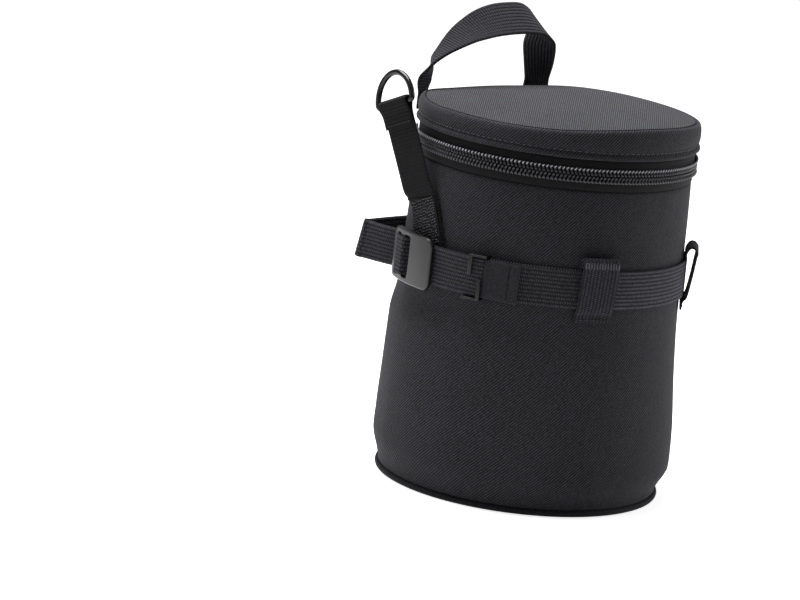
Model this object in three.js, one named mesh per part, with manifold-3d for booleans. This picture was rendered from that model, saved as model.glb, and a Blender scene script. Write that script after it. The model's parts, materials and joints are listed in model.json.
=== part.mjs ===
// A padded round pouch for one camera lens, with a zipped lid.
// Millimetres, +Z up. The origin is the middle of the base, on the surface it stands on.
// The front faces -Y. An angle on the pouch is counted from the front towards +X.
import * as THREE from 'three';
import { mergeVertices } from 'three/addons/utils/BufferGeometryUtils.js';
import Module from 'manifold-3d';

const wasm = await Module();
wasm.setup();
const deg = THREE.MathUtils.degToRad;
const lerp = THREE.MathUtils.lerp;

// Clearances shared by the whole part
const touchGap = 0.3;
const runGap = 0.45;
const overrun = 2;
const mergeReach = 0.0001;

// How far up the rounded foot its middle point lies
const footShare = 0.4;

// Facets of a full turn, on the visible layers and on the hidden ones
const turnSteps = 48;
const hiddenSteps = 24;
const weltSides = 8;

// Body: a padded tube, widest a little above its rounded foot
const body = {
  footRadius: 74,
  wideRadius: 76.2,
  topRadius: 72.5,
  footHeight: 3.7,
  wideHeight: 22,
  height: 171,
  shellThickness: 1.2,
  foamThickness: 5.6,
  liningThickness: 0.8,
  topRoll: 0.9,
  topRollHeight: 2.4,
  bindingThickness: 0.7,
  bindingHeight: 4,
  bindingDrop: 5,
};

// Base: a fabric disc, a welt sewn round it, a foam pad and a lining disc
const base = {
  panelThickness: 1.2,
  weltRadius: 1.6,
  weltLift: 0.1,
  foamThickness: 6,
  liningThickness: 0.8,
};

// Zip: two tapes and two rows of teeth that meet at one level
const zip = {
  riseFromBody: 8.3,
  halfAngle: 138,
  tapeThickness: 0.8,
  tapeInset: 0.9,
  tapeHalfGap: 0.9,
  allowance: 6,
  chainThickness: 1.9,
  chainWidth: 7.5,
  slot: 1.6,
  toothDepth: 1.5,
  toothPitchAngle: 4,
  stopWidthAngle: 2.6,
  stopThickness: 2.4,
};
zip.level = body.height + zip.riseFromBody;
zip.tapeRadius = body.topRadius - zip.tapeInset;

// Slider and its pull tab
const slider = {
  length: 12,
  plate: 1,
  flange: 1.1,
  neckLength: 3.2,
  neckThickness: 0.7,
  noseShare: 0.62,
  cornerRadius: 2.4,
  bailWire: 0.9,
  bailInner: 4.2,
  bailRise: 1.5,
  clearance: 0.7,
  parkAngle: 130,
};
const pull = {
  eyeRadius: 1.2,
  eyeBore: 0.8,
  eyeWidth: 3.3,
  length: 21,
  width: 5.8,
  neckWidth: 3.4,
  thickness: 1,
  cornerRadius: 1.4,
  slotLength: 8,
  slotWidth: 1.6,
  slotEnd: 3,
  leanAngle: 7,
};

// Lid: a crowned top panel, a band with a rolled lower edge, foam and lining
const lid = {
  bandRise: 8.1,
  seamRise: 20.5,
  crown: 6,
  bandSwell: 1.7,
  seamInset: 0.7,
  bottomSwell: 0.8,
  thickness: 1.2,
  // Power of the crown's fall, and where its rings lie
  crownShare: 2.5,
  ringShares: [0, 0.35, 0.65, 0.87, 1],
  // Growth and rise of the band's outline from its rolled lower edge to the seam
  bandShares: [[0, 0], [0.75, 0.12], [1, 0.45], [0.9, 0.75], [0.2, 0.95]],
  foamThickness: 6,
  liningThickness: 0.8,
  liningDrop: 1.6,
};
lid.bandBottom = zip.level + lid.bandRise;
lid.seam = zip.level + lid.seamRise;
lid.bandRadius = body.topRadius + lid.bandSwell;
lid.seamRadius = body.topRadius - lid.seamInset;
lid.bottomRadius = body.topRadius + lid.bottomSwell;

// Fabric hinge behind the zip
const hinge = {
  startAngle: 143.5,
  meet: 0.35,
};

// Belt webbing round the body, the loop that it makes at the left, and its keepers
const webbing = { width: 20, thickness: 1.5 };
const belt = {
  // From the body's top edge down to the belt's middle
  drop: 50.5,
  clearance: 0.45,
  raise: 1.4,
  raiseStart: -114,
  raiseEnd: -52,
  raiseBlend: 9,
  startAngle: -91,
  enterAngle: -117,
  endAngle: -112.4,
  loopTipRadius: 95.5,
  loopTipAngle: -129.5,
  loopTipHalf: 3.2,
  loopRootAngle: -148,
  loopSideShare: 0.5,
  loopSteps: 24,
  // The loop's curve starts one span back along the body
  loopStartShare: 1 / 8,
};
belt.level = body.height - belt.drop;
const keeper = {
  angles: [-21.4, 45, 180],
  width: 20,
  thickness: 1.3,
  // The middle of the webbing, as height above the belt's middle and distance from the body. It is
  // sewn down below the belt, stands away from it, and curls over to a second seam above it
  line: [
    [-16.9, 0.95],
    [-14.6, 0.95],
    [-12.2, 1.5],
    [-10.2, 3.1],
    [-4.5, 4.2],
    [2, 5.2],
    [8.5, 6],
    [13.2, 6.5],
    [15.6, 6],
    [16.6, 4.6],
    [16.4, 3],
    [15, 1.8],
    [13.4, 1.1],
    [11.8, 0.95],
    [10.9, 0.95],
  ],
};

// Ladder lock on the left, and the webbing through it
const lock = {
  clearance: 1,
  angle: -101,
  length: 37,
  height: 27,
  thickness: 2.3,
  cornerRadius: 4.2,
  plateLength: 18,
  slotNear: 5.2,
  bar: 5,
  slotFar: 5,
  slotHeight: 21.4,
  slotRadius: 1.2,
  bevelShare: 0.25,
  cornerShare: 0.78,
  wrapSteps: 20,
};
const tail = { endAngle: -51.5, thickness: 1.5 };

// Clip that keeps the tail on the belt
const clip = {
  angle: -68.5,
  clearance: 0.6,
  thickness: 1.3,
  bar: 2,
  barShift: 2.8,
  flagLength: 9.4,
  split: 1.4,
  back: 0.7,
  edge: 1.2,
};

// Strap that holds the D-ring at the left
const strap = {
  angle: -103.5,
  faceAngle: -83,
  // Turn of the strap in its own plane, so that it rises towards the back
  slant: 24,
  width: 20,
  thickness: 1.4,
  // From the belt's middle up to the fold
  foldRise: 36.5,
  foldRadius: 79.3,
  lean: 4.5,
  length: 44,
  loopBore: 1.9,
  loopWall: 1.4,
  loopShift: 0.8,
  secondLayer: 1.6,
  doubled: 12,
  baseThickness: 1.2,
  // Lengths along the root, down from its fold
  baseLength: 43,
  liftLength: 10,
  patchStart: 5,
  patchLength: 19.5,
  patchSpans: 5,
  patchThickness: 0.8,
  patchWidth: 18.4,
  // Where the points across the strap lie
  widthShares: [-1, -0.5, 0, 0.5, 1],
};
strap.foldHeight = belt.level + strap.foldRise;
const ring = {
  wire: 3.1,
  endClearance: 0.6,
  cornerRadius: 1.8,
  height: 16.8,
  // Tilt towards the body at rest
  tilt: 15,
  steps: 40,
  sides: 8,
};

// Carry handle, hinged on two sewn ends at the back of the lid
const handle = {
  angle: 147.6,
  thickness: 1.8,
  endWidth: 14,
  endRise: 1.2,
  flatRise: 10.6,
  pivotRise: 3.6,
  pivotClearance: 1.5,
  rise: 38,
  lean: 18,
  // The arch from left to right. Each row holds shares of the half span and of the rise, the
  // direction across the webbing, and its width. The webbing twists as it leaves each leg
  arch: [
    [-1, 0, 1, 0, 0, 14],
    [-0.993, 0.13, 0.86, 0.5, 0, 15.5],
    [-0.983, 0.29, 0.66, 0.75, 0, 18],
    [-0.953, 0.47, 0.5, 0.85, 0.1, 20],
    [-0.86, 0.7, 0.3, 0.9, 0.3, 21],
    [-0.69, 0.85, 0.12, 0.88, 0.45, 21],
    [-0.477, 0.94, 0, 0.84, 0.54, 21],
    [-0.2, 0.987, 0, 0.82, 0.57, 21],
    [0.07, 1, 0, 0.82, 0.57, 21],
    [0.3, 0.963, 0, 0.82, 0.57, 21],
    [0.5, 0.874, -0.04, 0.86, 0.5, 21],
    [0.66, 0.74, -0.3, 0.9, 0.3, 21],
    [0.765, 0.58, -0.72, 0.65, 0.1, 21],
    [0.83, 0.4, -0.93, 0.35, 0, 19.5],
    [0.91, 0.19, -0.98, 0.15, 0, 16.5],
    [1, 0, -1, 0, 0, 14],
  ],
  steps: 28,
  // Drop and thickness of the rings that round each end
  roundShares: [[0.95, 0.3], [0.7, 0.71], [0, 1]],
};
handle.endBottom = lid.bandBottom + handle.endRise;
handle.flatTop = lid.bandBottom + handle.flatRise;
handle.pivotHeight = lid.seam + handle.pivotRise;
handle.pivotRadius = lid.bandRadius + handle.pivotClearance;

// Direction away from the axis at an angle, and the direction of travel round it
const outward = (phi) => new THREE.Vector3(Math.sin(phi), -Math.cos(phi), 0);
const along = (phi) => new THREE.Vector3(Math.cos(phi), Math.sin(phi), 0);
const up = new THREE.Vector3(0, 0, 1);
const at = (radius, phi, z) => outward(phi).multiplyScalar(radius).setZ(z);

// Colours and finishes read from the photograph
const finish = (color, roughness, metalness = 0) =>
  new THREE.MeshStandardMaterial({ color, roughness, metalness });
const finishes = {
  fabric: finish('#26262a', 0.92),
  foam: finish('#3a3a3c', 0.98),
  lining: finish('#4a4b50', 0.9),
  webbing: finish('#1c1c20', 0.85),
  tape: finish('#222226', 0.9),
  teeth: finish('#2c2c30', 0.5),
  hook: finish('#1a1a1c', 0.98),
  plastic: finish('#2a2a2e', 0.45),
  plate: finish('#77787c', 0.35),
  metal: finish('#1b1b1d', 0.25, 0.9),
};

const model = new THREE.Group();
function addMesh(name, geometry, material) {
  const mesh = new THREE.Mesh(facingOut(geometry), material);
  mesh.name = name;
  model.add(mesh);
  return mesh;
}

// Merge the shared points of a geometry, and turn it round if its faces point inwards
function facingOut(source) {
  const bare = source.clone();
  bare.deleteAttribute('normal');
  bare.deleteAttribute('uv');
  const geometry = mergeVertices(bare, mergeReach);
  const place = geometry.attributes.position;
  const index = geometry.index.array;
  const [a, b, c] = [new THREE.Vector3(), new THREE.Vector3(), new THREE.Vector3()];
  let volume = 0;
  for (let i = 0; i < index.length; i += 3) {
    a.fromBufferAttribute(place, index[i]);
    b.fromBufferAttribute(place, index[i + 1]);
    c.fromBufferAttribute(place, index[i + 2]);
    volume += a.dot(b.cross(c));
  }
  if (volume < 0) {
    for (let i = 0; i < index.length; i += 3) {
      [index[i], index[i + 1]] = [index[i + 1], index[i]];
    }
  }
  geometry.computeVertexNormals();
  return geometry;
}

// Solids for joins and cuts
function toSolid(geometry) {
  const closed = facingOut(geometry);
  return new wasm.Manifold(new wasm.Mesh({
    numProp: 3,
    vertProperties: Float32Array.from(closed.attributes.position.array),
    triVerts: Uint32Array.from(closed.index.array),
  }));
}
function fromSolid(solid) {
  const mesh = solid.getMesh();
  const geometry = new THREE.BufferGeometry();
  geometry.setAttribute('position', new THREE.BufferAttribute(mesh.vertProperties, 3));
  geometry.setIndex(new THREE.BufferAttribute(mesh.triVerts, 1));
  return geometry;
}
const join = (...parts) => fromSolid(parts.map(toSolid).reduce((sum, next) => sum.add(next)));

// A solid through a row of outlines with as many points each, capped or joined end to end
function loft(rings, outline, closed = false) {
  const count = outline.length;
  const points = rings.flat().flatMap((p) => [p.x, p.y, p.z]);
  const index = [];
  const spans = closed ? rings.length : rings.length - 1;
  for (let i = 0; i < spans; i += 1) {
    const low = i * count;
    const high = ((i + 1) % rings.length) * count;
    for (let j = 0; j < count; j += 1) {
      const next = (j + 1) % count;
      index.push(low + j, low + next, high + next, low + j, high + next, high + j);
    }
  }
  if (!closed) {
    const last = (rings.length - 1) * count;
    const reversed = THREE.ShapeUtils.isClockWise(outline);
    for (const face of THREE.ShapeUtils.triangulateShape(outline, [])) {
      const [p, q, r] = reversed ? face.reverse() : face;
      index.push(r, q, p, last + p, last + q, last + r);
    }
  }
  const geometry = new THREE.BufferGeometry();
  geometry.setAttribute('position', new THREE.Float32BufferAttribute(points, 3));
  geometry.setIndex(index);
  return geometry;
}
const outlineOf = (pairs) => pairs.map(([x, y]) => new THREE.Vector2(x, y));

// Turn a closed outline of radius and height pairs into a full ring
function turned(pairs, steps = turnSteps) {
  const points = outlineOf([...pairs, pairs[0]]);
  return new THREE.LatheGeometry(points, steps).rotateX(Math.PI / 2);
}
// The same for a disc, whose outline starts and ends on the axis
function turnedDisc(pairs, steps = turnSteps) {
  return new THREE.LatheGeometry(outlineOf(pairs), steps).rotateX(Math.PI / 2);
}
// Distance from the axis to the middle of a facet of a hidden layer
const flatRadius = (radius) => radius * Math.cos(Math.PI / hiddenSteps);

// Sweep an outline of radius and height pairs round the pouch between two angles.
// The outline may change with the angle.
function swept(pairsAt, from, to, steps) {
  const rings = [];
  for (let i = 0; i <= steps; i += 1) {
    const phi = lerp(from, to, i / steps);
    rings.push(pairsAt(phi, i).map(([radius, z]) => at(radius, phi, z)));
  }
  return loft(rings, outlineOf(pairsAt(from, 0)));
}
const stepsFor = (angle) => Math.max(2, Math.ceil(Math.abs(angle) / (2 * Math.PI) * turnSteps));

// Bend a flat piece round the pouch: its X goes round, its Y goes up, its Z goes outwards
function wrapped(geometry, radius, phi, z) {
  const flat = geometry.clone();
  const place = flat.attributes.position;
  for (let i = 0; i < place.count; i += 1) {
    const p = at(radius + place.getZ(i), phi + place.getX(i) / radius, z + place.getY(i));
    place.setXYZ(i, p.x, p.y, p.z);
  }
  return flat;
}

// Rounded rectangle about the middle, as a shape or as a hole
function roundedRect(width, height, radius, target = new THREE.Shape(), x = 0, y = 0) {
  const [w, h] = [width / 2, height / 2];
  target.moveTo(x - w + radius, y - h);
  target.lineTo(x + w - radius, y - h);
  target.absarc(x + w - radius, y - h + radius, radius, -Math.PI / 2, 0, false);
  target.absarc(x + w - radius, y + h - radius, radius, 0, Math.PI / 2, false);
  target.absarc(x - w + radius, y + h - radius, radius, Math.PI / 2, Math.PI, false);
  target.absarc(x - w + radius, y - h + radius, radius, Math.PI, Math.PI * 1.5, false);
  return target;
}
const extruded = (shape, depth, curveSegments = 3) =>
  new THREE.ExtrudeGeometry(shape, { depth, bevelEnabled: false, curveSegments });

// Outer radius of the body at a height
function bodyRadius(z) {
  if (z < body.wideHeight) {
    const rise = (z - body.footHeight) / (body.wideHeight - body.footHeight);
    const bulge = Math.sin(Math.max(0, rise) * Math.PI / 2);
    return lerp(body.footRadius, body.wideRadius, bulge);
  }
  const rise = (z - body.wideHeight) / (body.height - body.wideHeight);
  return lerp(body.wideRadius, body.topRadius, rise);
}

// One layer of the padded wall, set in from the outer face by a distance
function wallLayer(inset, thickness, bottom, top) {
  const heights = [bottom, lerp(bottom, body.wideHeight, footShare), body.wideHeight, top];
  const outer = heights.map((z) => [bodyRadius(z) - inset, z]);
  const inner = heights.map((z) => [bodyRadius(z) - inset - thickness, z]).reverse();
  return [...outer, ...inner];
}

// Base
const weltRing = base.weltRadius + base.weltLift;
const weltMiddle = body.footRadius;
{
  const edge = weltMiddle - base.weltRadius - touchGap;
  const outline = [[0, 0], [edge, 0], [edge, base.panelThickness], [0, base.panelThickness]];
  addMesh('base_panel', turnedDisc(outline), finishes.fabric);

  const welt = [];
  for (let i = 0; i < weltSides; i += 1) {
    const turn = 2 * Math.PI * (i + 0.5) / weltSides;
    welt.push([
      weltMiddle + base.weltRadius * Math.cos(turn),
      weltRing + base.weltRadius * Math.sin(turn),
    ]);
  }
  addMesh('base_welt', turned(welt), finishes.webbing);

  const padBottom = base.panelThickness + touchGap;
  const padTop = padBottom + base.foamThickness;
  const padEdge = edge - touchGap;
  const pad = [[0, padBottom], [padEdge, padBottom], [padEdge, padTop], [0, padTop]];
  addMesh('base_foam', turnedDisc(pad, hiddenSteps), finishes.foam);
}
const baseFoamTop = base.panelThickness + touchGap + base.foamThickness;
const wallStart = baseFoamTop + touchGap;
const foamInset = body.shellThickness + touchGap;
const liningInset = foamInset + body.foamThickness + touchGap;
// The tape's sewn allowance lies inside the turned edge of the shell, above the foam
const lowerAllowance = body.topRadius - body.topRoll - body.shellThickness - touchGap;
const upperAllowance = lid.bottomRadius - lid.thickness - touchGap;
const foamTop = body.height - zip.allowance - 2 * touchGap;
{
  const lower = bodyRadius(wallStart) - liningInset - body.liningThickness - touchGap;
  const top = wallStart + base.liningThickness;
  const disc = [[0, wallStart], [lower, wallStart], [lower, top], [0, top]];
  addMesh('base_lining', turnedDisc(disc, hiddenSteps), finishes.lining);
}

// Wall: outer fabric with its top edge turned in, foam, lining and the binding of the rim
{
  const rollStart = body.height - body.topRollHeight;
  const shell = wallLayer(0, body.shellThickness, body.footHeight, rollStart);
  const half = shell.length / 2;
  const edge = bodyRadius(body.height) - body.topRoll;
  shell.splice(half, 0, [edge, body.height], [edge - body.shellThickness, body.height]);
  addMesh('wall_shell', turned(shell), finishes.fabric);

  const foam = wallLayer(foamInset, body.foamThickness, wallStart, foamTop);
  addMesh('wall_foam', turned(foam, hiddenSteps), finishes.foam);

  const lining = wallLayer(liningInset, body.liningThickness, wallStart, foamTop);
  addMesh('wall_lining', turned(lining, hiddenSteps), finishes.lining);

  const outerEdge = lowerAllowance - zip.tapeThickness - touchGap;
  const innerEdge = flatRadius(bodyRadius(foamTop) - liningInset - body.liningThickness) - touchGap;
  const seat = foamTop + touchGap;
  const crest = seat + body.bindingHeight;
  const hem = foamTop - body.bindingDrop;
  const inside = innerEdge - body.bindingThickness;
  const rim = [
    [outerEdge, seat],
    [outerEdge, crest],
    [inside, crest],
    [inside, hem],
    [innerEdge, hem],
    [innerEdge, seat],
  ];
  addMesh('rim_binding', turned(rim), finishes.webbing);
}

// Zip tapes: sewn behind an edge, then stepped out over it and up to the teeth
function tapeSection(allowance, seam, meet, away) {
  const inner = zip.tapeRadius;
  const outer = zip.tapeRadius + zip.tapeThickness;
  const root = seam + away * touchGap;
  const step = root + away * zip.tapeThickness;
  const end = seam - away * zip.allowance;
  return [
    [allowance - zip.tapeThickness, end],
    [allowance, end],
    [allowance, root],
    [outer, root],
    [outer, meet],
    [inner, meet],
    [inner, step],
    [allowance - zip.tapeThickness, step],
  ];
}
const zipEnd = deg(zip.halfAngle);
const lowerMeet = zip.level - zip.tapeHalfGap;
const upperMeet = zip.level + zip.tapeHalfGap;
const lowerTape = tapeSection(lowerAllowance, body.height, lowerMeet, 1);
const upperTape = tapeSection(upperAllowance, lid.bandBottom, upperMeet, -1);
const lowerLeaf = tapeSection(lowerAllowance, body.height, zip.level - hinge.meet, 1);
const upperLeaf = tapeSection(upperAllowance, lid.bandBottom, zip.level + hinge.meet, -1);

addMesh('zip_tape_lower', swept(() => lowerTape, -zipEnd, zipEnd, stepsFor(2 * zipEnd)), finishes.tape);
const tapeUpper = swept(() => upperTape, -zipEnd, zipEnd, stepsFor(2 * zipEnd));
addMesh('zip_tape_upper', tapeUpper, finishes.tape);

// The fabric hinge behind the zip, in two leaves that meet at the zip's level
const leafStart = deg(hinge.startAngle);
const leafEnd = 2 * Math.PI - leafStart;
const leafSteps = stepsFor(leafEnd - leafStart);
addMesh('hinge_leaf_lower', swept(() => lowerLeaf, leafStart, leafEnd, leafSteps), finishes.fabric);
addMesh('hinge_leaf_upper', swept(() => upperLeaf, leafStart, leafEnd, leafSteps), finishes.fabric);

// Rows of teeth: a rail on the tape whose free edge runs in points, with a slot between the rows
const chainInner = zip.tapeRadius + zip.tapeThickness + touchGap;
const chainOuter = chainInner + zip.chainThickness;
const chainAngle = zipEnd - deg(zip.stopWidthAngle) - touchGap / zip.tapeRadius;
function teethSection(away) {
  const rail = zip.level + away * zip.chainWidth / 2;
  const point = zip.level + away * zip.slot / 2;
  const valley = point + away * zip.toothDepth;
  return (phi, i) => {
    const edge = i % 2 === 0 ? valley : point;
    return [[chainInner, rail], [chainOuter, rail], [chainOuter, edge], [chainInner, edge]];
  };
}
const teethCount = Math.round(2 * chainAngle / deg(zip.toothPitchAngle));
const lowerTeeth = swept(teethSection(-1), -chainAngle, chainAngle, 2 * teethCount);
const upperTeeth = swept(teethSection(1), -chainAngle, chainAngle, 2 * teethCount);
addMesh('zip_teeth_lower', lowerTeeth, finishes.teeth);
addMesh('zip_teeth_upper', upperTeeth, finishes.teeth);

// A stop at each end of the zip, clamped on the lower tape
const stopHalf = zip.chainWidth / 2;
for (const [name, side] of [['zip_stop_left', -1], ['zip_stop_right', 1]]) {
  const from = side * zipEnd;
  const to = side * (zipEnd - deg(zip.stopWidthAngle));
  const top = chainInner + zip.stopThickness;
  const section = [
    [chainInner, zip.level - stopHalf],
    [top, zip.level - stopHalf],
    [top, zip.level - zip.slot / 2],
    [chainInner, zip.level - zip.slot / 2],
  ];
  addMesh(name, swept(() => section, from, to, 2), finishes.metal);
}

// Slider: an outer and an inner plate on a thin neck that runs in the slot between the teeth.
// A flange runs along its lower edge only, so that the lid's teeth can lift away.
// A small bail on it carries the eye of the pull.
const park = deg(slider.parkAngle);
const sliderWidth = zip.chainWidth + 2 * (runGap + slider.flange);
const sliderTop = chainOuter + slider.clearance + slider.plate;
const pullPivot = sliderTop + slider.bailRise;
const acrossPouch = new THREE.Matrix4().makeBasis(
  new THREE.Vector3(0, 1, 0),
  new THREE.Vector3(0, 0, 1),
  new THREE.Vector3(1, 0, 0),
);
function bailArch() {
  const inside = slider.bailInner / 2;
  const outside = inside + slider.bailWire;
  const [low, high] = [slider.bailRise - slider.bailWire / 2, slider.bailRise + slider.bailWire / 2];
  const shape = new THREE.Shape(outlineOf([
    [-outside, -slider.plate / 2],
    [-outside, high],
    [outside, high],
    [outside, -slider.plate / 2],
    [inside, -slider.plate / 2],
    [inside, low],
    [-inside, low],
    [-inside, -slider.plate / 2],
  ]));
  return extruded(shape, slider.bailWire)
    .translate(0, 0, -slider.bailWire / 2)
    .applyMatrix4(acrossPouch)
    .translate(0, 0, sliderTop - chainOuter);
}
{
  const nose = sliderWidth * slider.noseShare / 2;
  const [l, w, r] = [slider.length / 2, sliderWidth / 2, slider.cornerRadius];
  const plan = () => {
    const shape = new THREE.Shape();
    shape.moveTo(-l, -nose);
    shape.lineTo(-l + r, -w);
    shape.lineTo(l - r, -w);
    shape.quadraticCurveTo(l, -w, l, -w + r);
    shape.lineTo(l, w - r);
    shape.quadraticCurveTo(l, w, l - r, w);
    shape.lineTo(-l + r, w);
    shape.lineTo(-l, nose);
    return shape;
  };
  const outerSeat = chainOuter + slider.clearance;
  const innerSeat = zip.tapeRadius - slider.clearance;
  const outerPlate = extruded(plan(), slider.plate, 2).translate(0, 0, outerSeat - chainOuter);
  const innerPlate = extruded(plan(), slider.plate, 2)
    .translate(0, 0, innerSeat - slider.plate - chainOuter);
  const reach = outerSeat - innerSeat + slider.plate;
  const neck = new THREE.BoxGeometry(slider.neckLength, slider.neckThickness, reach)
    .translate(l - slider.neckLength / 2 - r, 0, innerSeat - slider.plate / 2 - chainOuter + reach / 2);
  const drop = outerSeat - chainInner - runGap;
  const flange = new THREE.BoxGeometry(slider.length - 2 * r, slider.flange, drop + slider.plate / 2)
    .translate(0, slider.flange / 2 - w, outerSeat - chainOuter - drop / 2 + slider.plate / 4);
  const solid = join(outerPlate, innerPlate, neck, flange, bailArch());
  addMesh('zip_slider', wrapped(solid, chainOuter, park, zip.level), finishes.metal);
}

// Pull tab: a rolled eye round the bail, a neck and a slotted tab that lies along the teeth
{
  const shape = new THREE.Shape();
  const [w, n, r] = [pull.width / 2, pull.neckWidth / 2, pull.cornerRadius];
  const shoulder = pull.eyeRadius + pull.width / 2;
  const end = pull.length;
  shape.moveTo(pull.eyeBore, -n);
  shape.lineTo(pull.eyeRadius + n / 2, -n);
  shape.quadraticCurveTo(shoulder, -n, shoulder, -w);
  shape.lineTo(end - r, -w);
  shape.quadraticCurveTo(end, -w, end, -w + r);
  shape.lineTo(end, w - r);
  shape.quadraticCurveTo(end, w, end - r, w);
  shape.lineTo(shoulder, w);
  shape.quadraticCurveTo(shoulder, n, pull.eyeRadius + n / 2, n);
  shape.lineTo(pull.eyeBore, n);
  const slotMiddle = end - pull.slotEnd - pull.slotLength / 2;
  const slot = roundedRect(pull.slotLength, pull.slotWidth, pull.slotWidth / 2, new THREE.Path(), slotMiddle);
  shape.holes.push(slot);
  const tab = extruded(shape, pull.thickness, 2).translate(0, 0, -pull.thickness / 2);
  const round = new THREE.Shape().absarc(0, 0, pull.eyeRadius, 0, 2 * Math.PI, false);
  round.holes.push(new THREE.Path().absarc(0, 0, pull.eyeBore, 0, 2 * Math.PI, true));
  const eye = extruded(round, pull.eyeWidth, 6)
    .translate(0, 0, -pull.eyeWidth / 2)
    .rotateX(Math.PI / 2);
  const boreLength = pull.eyeWidth + overrun;
  const bore = extruded(new THREE.Shape().absarc(0, 0, pull.eyeBore, 0, 2 * Math.PI, false), boreLength, 6)
    .translate(0, 0, -boreLength / 2)
    .rotateX(Math.PI / 2);
  const solid = fromSolid(toSolid(join(tab, eye)).subtract(toSolid(bore)));
  const mesh = addMesh('zip_pull', solid, finishes.metal);
  mesh.position.copy(at(pullPivot, park, zip.level));
  const leaned = outward(park).applyAxisAngle(up, -deg(pull.leanAngle));
  const back = new THREE.Vector3().crossVectors(up, leaned).negate();
  mesh.quaternion.setFromRotationMatrix(new THREE.Matrix4().makeBasis(back, up.clone().negate(), leaned));
}

// Lid: crowned top panel, band with a rolled lower edge, foam and lining
function crownHeight(radius, drop) {
  return lid.seam + lid.crown * (1 - (radius / lid.seamRadius) ** lid.crownShare) - drop;
}
{
  const panelEdge = lid.seamRadius - lid.thickness - touchGap;
  const radii = lid.ringShares.map((share) => share * panelEdge);
  const topSide = radii.map((radius) => [radius, crownHeight(radius, 0)]);
  const underside = radii.map((radius) => [radius, crownHeight(radius, lid.thickness)]).reverse();
  addMesh('lid_top_panel', turnedDisc([...topSide, ...underside]), finishes.fabric);

  const height = lid.seam - lid.bandBottom;
  const outer = lid.bandShares.map(([growth, rise]) => [
    lerp(lid.bottomRadius, lid.bandRadius, growth),
    lid.bandBottom + height * rise,
  ]);
  const inner = outer.map(([radius, z]) => [radius - lid.thickness, z]).reverse();
  const seamTop = [[lid.seamRadius, lid.seam], [lid.seamRadius - lid.thickness, lid.seam]];
  addMesh('lid_band', turned([...outer, ...seamTop, ...inner]), finishes.fabric);

  const skirt = upperAllowance - zip.tapeThickness - touchGap;
  const foamRadii = lid.ringShares.map((share) => share * skirt);
  const foamTopSide = foamRadii.map((radius) => [radius, crownHeight(radius, lid.thickness + touchGap)]);
  const foamBottom = lid.seam - lid.foamThickness;
  const foam = [...foamTopSide, [skirt, foamBottom], [0, foamBottom]];
  addMesh('lid_foam', turnedDisc(foam, hiddenSteps), finishes.foam);

  const discTop = foamBottom - touchGap;
  const discBottom = discTop - lid.liningThickness;
  const inside = skirt - lid.liningThickness;
  const bottom = lid.bandBottom - lid.liningDrop;
  const lining = [
    [0, discTop],
    [skirt, discTop],
    [skirt, bottom],
    [inside, bottom],
    [inside, discBottom],
    [0, discBottom],
  ];
  addMesh('lid_lining', turnedDisc(lining, hiddenSteps), finishes.lining);
}

const lockBase = bodyRadius(belt.level) + belt.clearance + belt.raise;
const layerStep = webbing.thickness + touchGap;
// Seats above the raised belt: the tail and the incoming webbing, then the lock
const lockSeat = lockBase + layerStep;
const lockUnder = lockSeat + webbing.thickness + lock.clearance;

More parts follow.
